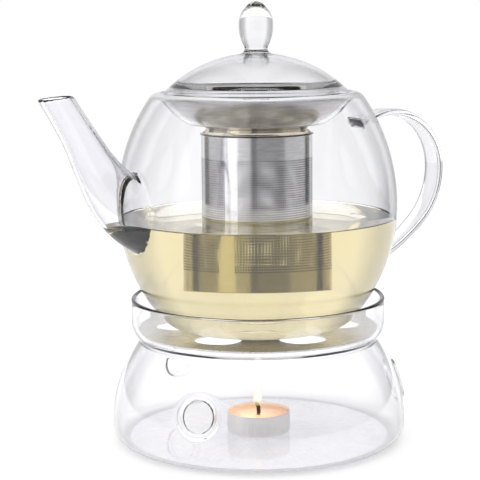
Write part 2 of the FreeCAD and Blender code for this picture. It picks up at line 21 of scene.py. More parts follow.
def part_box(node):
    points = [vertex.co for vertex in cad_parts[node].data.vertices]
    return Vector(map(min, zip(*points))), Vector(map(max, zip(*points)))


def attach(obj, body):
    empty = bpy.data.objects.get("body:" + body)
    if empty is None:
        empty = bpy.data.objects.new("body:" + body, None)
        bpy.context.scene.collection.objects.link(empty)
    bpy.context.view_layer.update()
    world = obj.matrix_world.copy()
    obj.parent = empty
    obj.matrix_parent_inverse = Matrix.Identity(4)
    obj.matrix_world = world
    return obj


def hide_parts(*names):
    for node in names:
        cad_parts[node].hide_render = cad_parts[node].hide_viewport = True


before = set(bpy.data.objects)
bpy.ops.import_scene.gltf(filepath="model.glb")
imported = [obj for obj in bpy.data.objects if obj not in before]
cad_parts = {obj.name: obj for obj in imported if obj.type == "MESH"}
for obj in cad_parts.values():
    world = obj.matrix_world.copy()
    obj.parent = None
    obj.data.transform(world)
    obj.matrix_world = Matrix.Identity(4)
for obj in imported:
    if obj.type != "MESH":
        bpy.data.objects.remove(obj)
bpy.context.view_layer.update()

LOG = logging.getLogger("teapot")
MM = 0.001  # metres in a millimetre
SIDES = 192  # facets round a lathed piece
CHORD = 1.6  # longest step along a curved outline
SMOOTH_BELOW = math.radians(38)  # edges flatter than this are shaded smooth
ARC_STEP = math.radians(12)  # most that one step of an arc turns
ROUNDING = (0.0, 0.25, 0.5, 0.75, 1.0)  # places along a rounded corner
SAME_PLACE = 1e-7  # corners closer than this, in metres, are one
MELT_ABOVE = math.radians(28)  # edges sharper than this melt
MELT_SPLITS = 4  # most times that long edges near a joint are split
MELT_PULL = 0.6  # share of the way that melting glass moves in one pass

Point = tuple[float, float]
Colour = tuple[float, float, float]


class Turn(Enum):
    """Which way an arc bends from its start."""

    LEFT = 1
    RIGHT = -1


class Carve(Enum):
    """How a tool shape changes a piece."""

    JOIN = "UNION"
    CUT = "DIFFERENCE"
    KEEP = "INTERSECT"


# ---- shapes


def arc_centre(start: Point, end: Point, radius: float, turn: Turn) -> Point:
    """Finds the centre of the short arc between two points.

    Args:
        start: Where the arc begins.
        end: Where it ends.
        radius: The arc's radius.
        turn: Which way it bends.

    Returns:
        The centre as (across, up).
    """
    run, rise = end[0] - start[0], end[1] - start[1]
    chord = math.hypot(run, rise)
    apart = math.sqrt(max(radius**2 - chord**2 / 4, 0.0)) / chord * turn.value
    return (start[0] + end[0]) / 2 - rise * apart, (start[1] + end[1]) / 2 + run * apart


class Outline:
    """Half of a lathed piece's section: points (across, up) joined by short chords."""

    def __init__(self, across: float, up: float, lift: float = 0.0) -> None:
        """Starts the outline at a point, all of whose heights count from the lift."""
        self.points: list[Point] = [(across, up)]
        self.lift = lift
        self.eased: dict[int, float] = {}

    def line(self, across: float, up: float, ease: float = 0.0, step: float = 2 * CHORD) -> "Outline":
        """Adds a straight run.

        Args:
            across: The end's distance from the axis.
            up: The end's height.
            ease: How far from its end the corner there starts to round.
            step: The longest chord.

        Returns:
            The outline, so that runs can be chained.
        """
        start = self.points[-1]
        steps = max(1, math.ceil(math.dist(start, (across, up)) / step))
        for share in np.linspace(0, 1, steps + 1)[1:]:
            self.points.append((start[0] + (across - start[0]) * share, start[1] + (up - start[1]) * share))
        if ease:
            self.eased[len(self.points) - 1] = ease
        return self

    def arc(self, across: float, up: float, radius: float, turn: Turn, ease: float = 0.0) -> "Outline":
        """Adds the short arc to a point.

        Args:
            across: The end's distance from the axis.
            up: The end's height.
            radius: The arc's radius.
            turn: Which way it bends.
            ease: How far from its end the corner there starts to round.

        Returns:
            The outline, so that runs can be chained.
        """
        start = self.points[-1]
        centre = arc_centre(start, (across, up), radius, turn)
        first = math.atan2(start[1] - centre[1], start[0] - centre[0])
        last = math.atan2(up - centre[1], across - centre[0])
        sweep_angle = (last - first) * turn.value % (2 * math.pi)
        steps = max(math.ceil(sweep_angle * radius / CHORD), math.ceil(sweep_angle / ARC_STEP))
        for step in range(1, steps):
            angle = first + sweep_angle * turn.value * step / steps
            self.points.append((centre[0] + radius * math.cos(angle), centre[1] + radius * math.sin(angle)))
        self.points.append((across, up))
        if ease:
            self.eased[len(self.points) - 1] = ease
        return self

    def finished(self) -> np.ndarray:
        """Rounds the marked corners.

        Returns:
            The points as rows (across, up), lifted.
        """
        points = list(self.points)
        for corner in sorted(self.eased, reverse=True):
            back, first = self._walk(corner, -1)
            ahead, last = self._walk(corner, 1)
            bend = [
                tuple(
                    (1 - share) ** 2 * b + 2 * share * (1 - share) * c + share**2 * a
                    for b, c, a in zip(back, points[corner], ahead)
                )
                for share in ROUNDING
            ]
            points[first + 1 : last] = bend
        return np.array(points) + (0.0, self.lift)

    def _walk(self, corner: int, step: int) -> tuple[Point, int]:
        """Goes along the outline from a corner, as far as its rounding reaches.

        Args:
            corner: The corner's index.
            step: 1 for onward, -1 for back.

        Returns:
            The point reached, and the index of the first point past it.
        """
        left, index = self.eased[corner], corner
        while 0 <= index + step < len(self.points):
            here, there = self.points[index], self.points[index + step]
            length = math.dist(here, there)
            if length >= left:
                share = left / length
                reached = (here[0] + (there[0] - here[0]) * share, here[1] + (there[1] - here[1]) * share)
                return reached, index + step
            left -= length
            index += step
        return self.points[index], index


def piece_from(name: str, corners: np.ndarray, faces: Sequence[Sequence[int]]) -> bpy.types.Object:
    """Makes an object from corners in millimetres.

    Args:
        name: The piece's name.
        corners: Rows of x, y, z in millimetres.
        faces: Corner indices of each face.

    Returns:
        The linked object, with its normals facing out.
    """
    mesh = bpy.data.meshes.new(name)
    mesh.from_pydata((np.asarray(corners) * MM).tolist(), [], faces)
    piece = bpy.data.objects.new(name, mesh)
    bpy.context.scene.collection.objects.link(piece)
    tidy_mesh(piece)
    return piece


def tidy_mesh(piece: bpy.types.Object) -> None:
    """Drops stray and doubled corners, faces all normals out and shades the piece smooth.

    Args:
        piece: The piece, changed in place.
    """
    work = bmesh.new()
    work.from_mesh(piece.data)
    bmesh.ops.remove_doubles(work, verts=work.verts, dist=SAME_PLACE)
    bmesh.ops.dissolve_degenerate(work, edges=work.edges, dist=SAME_PLACE)
    bmesh.ops.recalc_face_normals(work, faces=work.faces)
    work.to_mesh(piece.data)
    work.free()
    piece.data.shade_smooth()
    piece.data.set_sharp_from_angle(angle=SMOOTH_BELOW)


def lathe(
    name: str,
    outline: Outline,
    ring: bool = False,
    sides: int = SIDES,
    wave: Callable[[float, float], float] | None = None,
) -> bpy.types.Object:
    """Turns an outline about the upright axis.

    Args:
        name: The piece's name.
        outline: The section. Unless it is a ring, both of its ends lie on the axis.
        ring: True if the section closes on itself, away from the axis.
        sides: Facets round the piece.
        wave: Gives the extra radius at an angle and a height.

    Returns:
        The turned piece, a closed mesh.
    """
    section = outline.finished()
    angles = np.linspace(0.0, 2 * math.pi, sides, endpoint=False)
    corners: list[tuple[float, float, float]] = []
    rows: list[list[int]] = []
    for across, up in section:
        if abs(across) < 1e-6:
            rows.append([len(corners)] * sides)
            corners.append((0.0, 0.0, up))
            continue
        rows.append(list(range(len(corners), len(corners) + sides)))
        for angle in angles:
            radius = across + (wave(angle, up) if wave else 0.0)
            corners.append((radius * math.cos(angle), radius * math.sin(angle), up))
    if ring:
        rows.append(rows[0])
    faces = []
    for low, high in zip(rows, rows[1:]):
        for side in range(sides):
            onward = (side + 1) % sides
            face = (low[side], low[onward], high[onward], high[side])
            faces.append(list(dict.fromkeys(face)))
    return piece_from(name, np.array(corners), faces)


def sweep(name: str, rings: Sequence[np.ndarray]) -> bpy.types.Object:
    """Skins a row of rings that have equal numbers of corners, and caps both ends.

    Args:
        name: The piece's name.
        rings: Arrays of rows x, y, z in millimetres.

    Returns:
        The closed piece.
    """
    count = len(rings[0])
    faces: list[list[int]] = [list(range(count))]
    for index in range(len(rings) - 1):
        for side in range(count):
            onward = (side + 1) % count
            base = index * count
            faces.append([base + side, base + onward, base + count + onward, base + count + side])
    faces.append(list(range((len(rings) - 1) * count, len(rings) * count)))
    return piece_from(name, np.concatenate(rings), faces)


def carve(piece: bpy.types.Object, tool: bpy.types.Object, how: Carve) -> None:
    """Joins, cuts or keeps a piece by a tool shape.

    Args:
        piece: The piece, changed in place.
        tool: The tool shape, which is used up.
        how: What the tool does.
    """
    change = piece.modifiers.new("carve", "BOOLEAN")
    change.operation = how.value
    change.solver = "EXACT"
    change.object = tool
    graph = bpy.context.evaluated_depsgraph_get()
    changed = bpy.data.meshes.new_from_object(piece.evaluated_get(graph))
    piece.modifiers.clear()
    spent = piece.data
    piece.data = changed
    bpy.data.meshes.remove(spent)
    bpy.data.objects.remove(tool)


@dataclass(frozen=True)
class Zone:
    """A ball in which the joints of a piece are melted together."""

    centre: tuple[float, float, float]
    radius: float

    def holds(self, where: np.ndarray) -> np.ndarray:
        """Tells which of the points, in millimetres, lie inside the ball."""
        return np.linalg.norm(where - np.array(self.centre), axis=1) < self.radius


def melt(
    piece: bpy.types.Object, zones: Sequence[Zone], reach: float, passes: int, step: float = 1.0
) -> None:
    """Rounds the sharp joints of a glass piece, as a flame does.

    Args:
        piece: The piece.
        zones: Where its joints are.
        reach: How far from a joint the glass moves, in millimetres.
        passes: How often it is smoothed.
        step: The longest edge left near a joint, in millimetres.
    """
    work = bmesh.new()
    work.from_mesh(piece.data)
    for _ in range(MELT_SPLITS):
        where = np.array([corner.co for corner in work.verts]) / MM
        near = np.any([zone.holds(where) for zone in zones], axis=0)
        work.verts.index_update()
        local = [face for face in work.faces if any(near[corner.index] for corner in face.verts)]
        bmesh.ops.triangulate(work, faces=local)
        long_edges = [
            edge
            for edge in work.edges
            if edge.calc_length() > step * MM * 1.5 and all(near[corner.index] for corner in edge.verts)
        ]
        if not long_edges:
            break
        bmesh.ops.subdivide_edges(work, edges=long_edges, cuts=1)
        many = [face for face in work.faces if len(face.verts) > 4]
        bmesh.ops.triangulate(work, faces=many)
    work.verts.index_update()
    where = np.array([corner.co for corner in work.verts]) / MM
    inside = np.any([zone.holds(where) for zone in zones], axis=0)
    sharp = {
        corner.index
        for edge in work.edges
        if len(edge.link_faces) == 2 and edge.calc_face_angle() > MELT_ABOVE
        for corner in edge.verts
        if inside[corner.index]
    }
    work.to_mesh(piece.data)
    work.free()
    if sharp:
        relax(piece, where, np.array(sorted(sharp)), reach, passes)
    tidy_mesh(piece)


def relax(piece: bpy.types.Object, where: np.ndarray, sharp: np.ndarray, reach: float, passes: int) -> None:
    """Moves the corners near sharp ones towards the middle of their neighbours.

    Args:
        piece: The piece.
        where: Its corners in millimetres.
        sharp: Indices of the corners on sharp edges.
        reach: How far from them the effect fades out.
        passes: How often the corners move.
    """
    edges = np.array([edge.vertices[:] for edge in piece.data.edges])
    nearest = np.full(len(where), np.inf)
    for corner in where[sharp]:
        np.minimum(nearest, np.linalg.norm(where - corner, axis=1), out=nearest)
    share = np.clip(1 - nearest / reach, 0.0, 1.0)
    weight = (share * share * (3 - 2 * share))[:, None] * MELT_PULL
    count = np.zeros((len(where), 1))
    np.add.at(count, edges[:, 0], 1)
    np.add.at(count, edges[:, 1], 1)
    for _ in range(passes):
        total = np.zeros_like(where)
        np.add.at(total, edges[:, 0], where[edges[:, 1]])
        np.add.at(total, edges[:, 1], where[edges[:, 0]])
        where = where + (total / np.maximum(count, 1) - where) * weight
    piece.data.vertices.foreach_set("co", (where * MM).ravel())
    piece.data.update()


def frame_box(node: str) -> tuple[Vector, Vector]:
    """Gives a frame node's lowest and highest corner in millimetres."""
    low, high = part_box(node)
    return Vector(low) / MM, Vector(high) / MM


def corner_round(centre: Point, arc: float, rounding: float, level: float, side: int) -> tuple[Point, Point]:
    """Fits a round between a level line and the inside of an arc.

    Args:
        centre: The arc's centre.
        arc: Its radius.
        rounding: The round's radius.
        level: The line's height.
        side: 1 if the arc is above the line, -1 if below.

    Returns:
        The touching points on the line and on the arc.
    """
    middle = level + rounding * side
    across = math.sqrt((arc - rounding) ** 2 - (middle - centre[1]) ** 2)
    share = arc / (arc - rounding)
    return (
        (centre[0] + across, level),
        (centre[0] + across * share, centre[1] + (middle - centre[1]) * share),
    )


def smooth_through(knots: np.ndarray, values: np.ndarray, at: np.ndarray) -> np.ndarray:
    """Draws cubic curves through rows of values.

    Args:
        knots: Where the rows lie along the curve.
        values: The rows.
        at: Where along the curve to read it.

    Returns:
        A row for each place asked for.
    """
    slopes = np.gradient(values, knots, axis=0)
    index = np.clip(np.searchsorted(knots, at, side="right") - 1, 0, len(knots) - 2)
    gap = (knots[index + 1] - knots[index])[:, None]
    share = (at[:, None] - knots[index][:, None]) / gap
    squared, cubed = share**2, share**3
    return (
        values[index] * (2 * cubed - 3 * squared + 1)
        + slopes[index] * gap * (cubed - 2 * squared + share)
        + values[index + 1] * (3 * squared - 2 * cubed)
        + slopes[index + 1] * gap * (cubed - squared)
    )


# ---- finishes


class Nodes:
    """Builds the node tree of one material, or of the world."""

    def __init__(self, name: str, world: bool = False) -> None:
        """Starts an empty tree.

        Args:
            name: The name of the material or world.
            world: True for a world.
        """
        self.owner = (bpy.data.worlds if world else bpy.data.materials).new(name)
        self.owner.use_nodes = True
        self.tree = self.owner.node_tree
        self.tree.nodes.clear()
        self.output = self.tree.nodes.new("ShaderNodeOutputWorld" if world else "ShaderNodeOutputMaterial")

    def add(self, kind: str, **inputs: object) -> bpy.types.Node:
        """Adds a node.

        Args:
            kind: The node's type without its ShaderNode prefix.
            inputs: Values or sockets by input name, with _ for a space, or by number as n0, n1 and so on,
                and the node's settings in lower case.

        Returns:
            The node.
        """
        node = self.tree.nodes.new("ShaderNode" + kind)
        for name, value in inputs.items():
            if hasattr(node, name) and name.islower() and name not in node.inputs:
                setattr(node, name, value)
                continue
            numbered = name[0] == "n" and name[1:].isdigit()
            socket = node.inputs[int(name[1:]) if numbered else name.replace("_", " ")]
            if isinstance(value, bpy.types.NodeSocket):
                self.tree.links.new(value, socket)
            elif isinstance(value, tuple) and len(value) == 3 and socket.type == "RGBA":
                socket.default_value = (*value, 1.0)
            else:
                socket.default_value = value
        return node

    def place(self) -> bpy.types.NodeSocket:
        """Reads the place in the piece's own space."""
        return self.add("TexCoord").outputs["Object"]

    def height(self) -> bpy.types.NodeSocket:
        """Reads the height in the piece's own space."""
        return self.add("SeparateXYZ", Vector=self.place()).outputs["Z"]

    def calc(self, operation: str, *values: object, clamp: bool = False) -> bpy.types.NodeSocket:
        """Adds a sum.

        Args:
            operation: The sum's kind.
            values: Numbers or sockets.
            clamp: True to keep the result between 0 and 1.

        Returns:
            The result.
        """
        numbered = {f"n{index}": value for index, value in enumerate(values)}
        return self.add("Math", operation=operation, use_clamp=clamp, **numbered).outputs[0]

    def ramp(
        self, value: bpy.types.NodeSocket, low: float, high: float, first: float = 0.0, last: float = 1.0
    ) -> bpy.types.NodeSocket:
        """Maps the range from low to high to the range from first to last, and holds it beyond."""
        return self.add(
            "MapRange", Value=value, From_Min=low, From_Max=high, To_Min=first, To_Max=last
        ).outputs[0]

    def noise(
        self, scale: float, stretch: Colour = (1.0, 1.0, 1.0), detail: float = 3.0
    ) -> bpy.types.NodeSocket:
        """Adds noise in the piece's own space.

        Args:
            scale: Blotches in a metre.
            stretch: Factors that squeeze the noise along x, y and z.
            detail: Finer layers of the noise.

        Returns:
            The noise's value, about a half.
        """
        squeezed = self.add("Mapping", Vector=self.place(), Scale=stretch).outputs["Vector"]
        return self.add("TexNoise", Vector=squeezed, Scale=scale, Detail=detail).outputs[0]

    def spread(self, value: bpy.types.NodeSocket, low: float, high: float) -> bpy.types.NodeSocket:
        """Maps the middle range of a noise to a range of numbers."""
        return self.ramp(value, 0.3, 0.7, low, high)

    def blend(self, share: object, one: object, other: object, how: str = "MIX") -> bpy.types.NodeSocket:
        """Mixes two colours, or their sockets, by a share from 0 to 1."""
        return self.add("Mix", data_type="RGBA", blend_type=how, n0=share, n6=one, n7=other).outputs[2]

    def bump(self, height: bpy.types.NodeSocket, strength: float, depth: float) -> bpy.types.NodeSocket:
        """Turns a height into a bumpy normal, with its depth in millimetres."""
        return self.add("Bump", Height=height, Strength=strength, Distance=depth * MM).outputs["Normal"]

    def clear(
        self, colour: object, index: float, normal: bpy.types.NodeSocket, shadow: Colour
    ) -> bpy.types.NodeSocket:
        """Adds a clear body that lets lamps through.

        Args:
            colour: What light that passes a face is tinted by: a colour or a socket.
            index: The refractive index.
            normal: The bumpy normal.
            shadow: What lamplight is tinted by at each face.

        Returns:
            The shader.
        """
        body = self.add(
            "BsdfPrincipled",
            Base_Color=colour,
            Roughness=0.0,
            IOR=index,
            Transmission_Weight=1.0,
            Normal=normal,
        ).outputs[0]
        through = self.add("BsdfTransparent", Color=shadow).outputs[0]
        shadow_ray = self.add("LightPath").outputs["Is Shadow Ray"]
        return self.add("MixShader", n0=shadow_ray, n1=body, n2=through).outputs[0]

    def finish(self, shader: bpy.types.NodeSocket) -> bpy.types.ID:
        """Joins the shader to the output, and gives the material or world."""
        self.tree.links.new(shader, self.output.inputs["Surface"])
        return self.owner


@dataclass(frozen=True)
class Glass:
    """Clear blown glass, with painted shade where it is seen edge on."""

    name: str
    tint: Colour
    # edge: the colour of the painted shade where the glass is seen edge on, standing in for dark surroundings
    # seen through it
    edge: Colour
    shadow: Colour
    wave: float
    edge_shade_power: float = 4.0
    index: float = 1.47
    wave_scale: float = 22.0

    def material(self) -> bpy.types.Material:
        """Builds the material: the slow waves of a blown wall, and painted shade at the edge that varies a
        little.
        """
        nodes = Nodes(self.name)
        normal = nodes.bump(nodes.noise(self.wave_scale, (1.0, 1.0, 1.6), 1.0), 1.0, self.wave)
        facing = nodes.add("LayerWeight", Blend=0.5, Normal=normal).outputs["Facing"]
        # painted shade, strongest where the face is seen edge on
        painted_edge_shade = nodes.calc("POWER", facing, self.edge_shade_power)
        uneven = nodes.spread(nodes.noise(9.0), 0.9, 1.1)
        colour = nodes.blend(nodes.calc("MULTIPLY", painted_edge_shade, uneven, clamp=True), self.tint, self.edge)
        return nodes.finish(nodes.clear(colour, self.index, normal, self.shadow))


@dataclass(frozen=True)
class Liquor:
    """Brewed tea, coloured through its depth."""

    name: str
    colour: Colour
    density: float
    index: float = 1.333
    shadow: Colour = (0.97, 0.93, 0.78)

    def material(self) -> bpy.types.Material:
        """Builds the material: clear water with a faint ripple, and colour that deepens with distance."""
        nodes = Nodes(self.name)
        ripple = nodes.bump(nodes.noise(60.0, (1.0, 1.0, 0.3), 1.0), 1.0, 0.05)
        depth = nodes.add("VolumeAbsorption", Color=self.colour, Density=self.density).outputs[0]
        nodes.tree.links.new(depth, nodes.output.inputs["Volume"])
        return nodes.finish(nodes.clear((1.0, 1.0, 1.0), self.index, ripple, self.shadow))


@dataclass(frozen=True)
class Metal:
    """Drawn, turned or rolled metal, which may be stained or darkened with painted shade below a level."""

    name: str
    light: Colour
    dark: Colour
    smooth: float
    rough: float
    grain: Colour
    grain_scale: float
    grain_depth: float
    metallic: float = 1.0
    stain_and_shade: Colour | None = None
    stain_and_shade_level: float = 0.0
    stain_and_shade_edge: float = 0.8

    def material(self) -> bpy.types.Material:
        """Builds the material: tone and gloss that vary, with grain along the working direction."""
        nodes = Nodes(self.name)
        grain = nodes.noise(self.grain_scale, self.grain, 4.0)
        cloud = nodes.spread(nodes.noise(45.0), -0.3, 0.3)
        tone = nodes.calc("ADD", nodes.spread(grain, 0.0, 1.0), cloud, clamp=True)
        colour = nodes.blend(tone, self.dark, self.light)
        # below the level the colour is multiplied: a tea stain on the basket, painted shade on the crimp
        if self.stain_and_shade:
            low, high = self.stain_and_shade_level - self.stain_and_shade_edge, self.stain_and_shade_level + self.stain_and_shade_edge
            stain_and_shade_mask = nodes.ramp(nodes.height(), low * MM, high * MM, 1.0, 0.0)
            colour = nodes.blend(stain_and_shade_mask, colour, nodes.blend(1.0, colour, self.stain_and_shade, "MULTIPLY"))
        return nodes.finish(
            nodes.add(
                "BsdfPrincipled",
                Base_Color=colour,
                Metallic=self.metallic,
                Roughness=nodes.spread(grain, self.smooth, self.rough),
                Normal=nodes.bump(grain, 0.5, self.grain_depth),
            ).outputs[0]
        )


@dataclass(frozen=True)
class Wax:
    """Candle wax, with a painted glow where its flame lights it from within."""

    name: str
    colour: Colour
    glow: Colour
    strength: float
    flame: Vector
    near: float = 4.0
    far: float = 24.0
    cloudy: float = 0.95

    def material(self) -> bpy.types.Material:
        """Builds the material: soft wax with a painted glow that fades away from the flame."""
        nodes = Nodes(self.name)
        away = nodes.add("VectorMath", operation="DISTANCE", n0=nodes.place(), n1=self.flame).outputs["Value"]
        grain = nodes.noise(700.0)
        darker = tuple(part * self.cloudy for part in self.colour)
        return nodes.finish(
            nodes.add(
                "BsdfPrincipled",
                Base_Color=nodes.blend(nodes.spread(grain, 0, 1), self.colour, darker),
                Roughness=nodes.spread(grain, 0.25, 0.45),
                Subsurface_Weight=0.6,
                Subsurface_Radius=(0.006, 0.003, 0.0015),
                Emission_Color=self.glow,
                Emission_Strength=nodes.ramp(away, self.near * MM, self.far * MM, self.strength, 0.0),
                Normal=nodes.bump(grain, 0.3, 0.1),
            ).outputs[0]
        )


@dataclass(frozen=True)
class Cord:
    """Braided wick, charred towards its end."""

    name: str
    char: Colour
    ember: Colour
    clean: Colour
    char_from: float
    char_to: float

    def material(self) -> bpy.types.Material:
        """Builds the material: pale braid below, black above."""
        nodes = Nodes(self.name)
        burnt = nodes.ramp(nodes.height(), self.char_from * MM, self.char_to * MM)
        braid = nodes.add("TexWave", Scale=450.0, Distortion=3.0, bands_direction="DIAGONAL").outputs[1]
        return nodes.finish(
            nodes.add(
                "BsdfPrincipled",
                Base_Color=nodes.blend(burnt, self.clean, self.char),
                Roughness=0.9,
                # a faint painted glow over the whole cord, the clean braid too
                Emission_Color=self.ember,
                Emission_Strength=0.03,
                Normal=nodes.bump(braid, 0.6, 0.2),
            ).outputs[0]
        )


@dataclass(frozen=True)
class Fire:
    """A flame: a white heart, yellow sides and an edge that thins away."""

    name: str
    heart: Colour
    edge: Colour
    base: Colour
    strength: float
    low: float
    high: float

    def material(self) -> bpy.types.Material:
        """Builds the material: light by height, clear at the edge and at the foot."""
        nodes = Nodes(self.name)
        facing = nodes.add("LayerWeight", Blend=0.35).outputs["Facing"]
        lick = nodes.spread(nodes.noise(120.0), 0.75, 1.35)
        side = nodes.blend(nodes.calc("MULTIPLY", facing, lick, clamp=True), self.heart, self.edge)
        foot = nodes.ramp(nodes.ramp(nodes.height(), self.low * MM, self.high * MM), 0.05, 0.35)
        colour = nodes.blend(foot, self.base, side)
        light = nodes.add("Emission", Color=colour, Strength=self.strength).outputs[0]
        clear = nodes.add("BsdfTransparent").outputs[0]
        below = nodes.ramp(foot, 0.0, 1.0, 0.75, 0.0)
        share = nodes.calc("MAXIMUM", nodes.calc("POWER", facing, 4.0), below)
        return nodes.finish(nodes.add("MixShader", n0=share, n1=light, n2=clear).outputs[0])


def dress(
    piece: bpy.types.Object, material: bpy.types.Material, body: str
) -> bpy.types.Object:
    """Gives a piece its finish, and ties it to its body.

    Args:
        piece: The piece.
        material: Its finish.
        body: The body it moves with.

    Returns:
        The piece.
    """
    piece.data.materials.clear()
    piece.data.materials.append(material)
    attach(piece, body)
    LOG.info("%s: %d faces, on %s", piece.name, len(piece.data.polygons), body)
    return piece


# ---- the set


def dress_node(node: str, material: bpy.types.Material) -> None:
    """Gives a frame node, which stays as it is, its finish.

    Args:
        node: The node's name.
        material: Its finish.
    """
    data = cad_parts[node].data
    data.materials.clear()
    data.materials.append(material)
    LOG.info("%s: kept from the frame", node)


def refinish(piece: bpy.types.Object, material: bpy.types.Material, chosen: Callable[[Vector], bool]) -> None:
    """Gives some of a piece's faces a second finish.

    Args:
        piece: The piece, which already has its first finish.
        material: The second finish.
        chosen: Tells from a face's middle, in millimetres, whether it takes the second one.
    """
    piece.data.materials.append(material)
    for face in piece.data.polygons:
        face.material_index = int(chosen(face.center / MM))


@dataclass
class Warmer:
    """The blown glass bowl under the pot, with three beaded air vents and a gallery for the plate."""

    glass: Glass
    belly_arc: float = 79.8
    corner: float = 10.0
    wall: float = 2.6
    floor: float = 2.0
    gallery_inset: float = 12.1
    waist_inset: float = 5.5
    gallery_corner: float = 12.5
    rim_round: float = 1.5
    vent_radius: float = 8.9
    vent_height: float = 31.0
    vent_bead: float = 2.2
    vent_turns: tuple[float, ...] = (-144.0, -24.0, 96.0)
    bead_seat: float = 0.85  # share of the bead's own radius by which its middle stands off the vent
    drill_turn: float = 0.03  # radians, which keeps the drill's corners off the bead's
    melt_zone: float = 18.0
    melt_reach: float = 3.0
    low: Vector = field(init=False)
    high: Vector = field(init=False)

    def __post_init__(self) -> None:
        """Reads the bowl's size from the frame."""
        self.low, self.high = frame_box("warmer_body")

    def build(self) -> None:
        """Makes the bowl and its vents."""
        bowl = lathe("warmer_glass", self.section())
        turns = [math.radians(turn) for turn in self.vent_turns]
        for turn in turns:
            carve(bowl, self.bead(turn), Carve.JOIN)
        for turn in turns:
            carve(bowl, self.drill(turn), Carve.CUT)
        zones = [Zone(tuple(self.vent_place(turn)[0]), self.melt_zone) for turn in turns]
        melt(bowl, zones, self.melt_reach, passes=8)
        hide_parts("warmer_body")
        dress(bowl, self.glass.material(), "warmer")

    def section(self) -> Outline:
        """Draws the bowl's section, from the middle of its base round its rim to the middle of its floor."""
        wall, outer = self.wall, self.high.x
        gallery = outer - self.gallery_inset
        belly = (outer - self.belly_arc, self.corner)
        across = gallery - self.waist_inset
        waist = (across, belly[1] + math.sqrt(self.belly_arc**2 - (across - belly[0]) ** 2))
        bend = gallery - self.gallery_corner
        level = waist[1] + math.sqrt(self.gallery_corner**2 - (across - bend) ** 2)
        inner = (self.belly_arc - wall) / self.belly_arc
        inner_waist = (belly[0] + (across - belly[0]) * inner, belly[1] + (waist[1] - belly[1]) * inner)
        turn_in = (self.gallery_corner - wall) / self.gallery_corner
        inner_bend = (bend + (across - bend) * turn_in, level + (waist[1] - level) * turn_in)
        rim = self.high.z - self.rim_round
        inner_corner = self.corner - wall
        return (
            Outline(0.0, 0.0)
            .line(outer - self.corner, 0.0)
            .arc(outer, self.corner, self.corner, Turn.LEFT)
            .arc(*waist, self.belly_arc, Turn.LEFT, ease=2.0)
            .arc(gallery, level, self.gallery_corner, Turn.LEFT)
            .line(gallery, rim)
            .arc(gallery - wall / 2, self.high.z, self.rim_round, Turn.LEFT)
            .arc(gallery - wall, rim, self.rim_round, Turn.LEFT)
            .line(gallery - wall, level)
            .arc(*inner_bend, self.gallery_corner - wall, Turn.RIGHT)
            .arc(*inner_waist, wall, Turn.LEFT)
            .arc(outer - wall, self.floor + inner_corner, self.belly_arc - wall, Turn.RIGHT)
            .arc(outer - wall - inner_corner, self.floor, inner_corner, Turn.RIGHT)
            .line(0.0, self.floor)
        )

    def vent_place(self, turn: float) -> tuple[np.ndarray, np.ndarray, np.ndarray, np.ndarray]:
        """Finds a vent.

        Args:
            turn: Its angle about the Z axis, in radians.

        Returns:
            Its middle, its axis out of the glass, and two directions across it.
        """
        across = self.high.x - self.belly_arc
        arc = self.belly_arc - self.wall / 2
        lean = math.asin((self.vent_height - self.corner) / arc)
        reach = across + arc * math.cos(lean)
        out = np.array([math.cos(lean) * math.cos(turn), math.cos(lean) * math.sin(turn), math.sin(lean)])
        aside = np.array([-math.sin(turn), math.cos(turn), 0.0])
        middle = np.array([reach * math.cos(turn), reach * math.sin(turn), self.vent_height])
        return middle, out, aside, np.cross(out, aside)

    def bead(self, turn: float) -> bpy.types.Object:
        """Makes the rolled ring of glass round a vent.

        Args:
            turn: The vent's angle about the Z axis, in radians.

        Returns:
            The ring.
        """
        middle, out, aside, up = self.vent_place(turn)
        around, about = 72, 20
        major = self.vent_radius + self.vent_bead * self.bead_seat
        corners = []
        for step in range(around):
            angle = 2 * math.pi * step / around
            spoke = aside * math.cos(angle) + up * math.sin(angle)
            for part in range(about):
                bend = 2 * math.pi * part / about
                reach = major + self.vent_bead * math.cos(bend)
                corners.append(middle + spoke * reach + out * (self.vent_bead * math.sin(bend)))
        faces = [
            [
                step * about + part,
                (step + 1) % around * about + part,
                (step + 1) % around * about + (part + 1) % about,
                step * about + (part + 1) % about,
            ]
            for step in range(around)
            for part in range(about)
        ]
        return piece_from("vent_bead", np.array(corners), faces)

    def drill(self, turn: float) -> bpy.types.Object:
        """Makes the rod that opens a vent.

        Args:
            turn: The vent's angle about the Z axis, in radians.

        Returns:
            The rod.
        """
        middle, out, aside, up = self.vent_place(turn)
        first, sides, half_length = self.drill_turn, 64, 3 * self.wall
        angles = np.linspace(first, 2 * math.pi + first, sides, endpoint=False)[:, None]
        ring = (aside * np.cos(angles) + up * np.sin(angles)) * self.vent_radius
        return sweep("vent_drill", [middle + ring + out * reach for reach in (-half_length, half_length)])


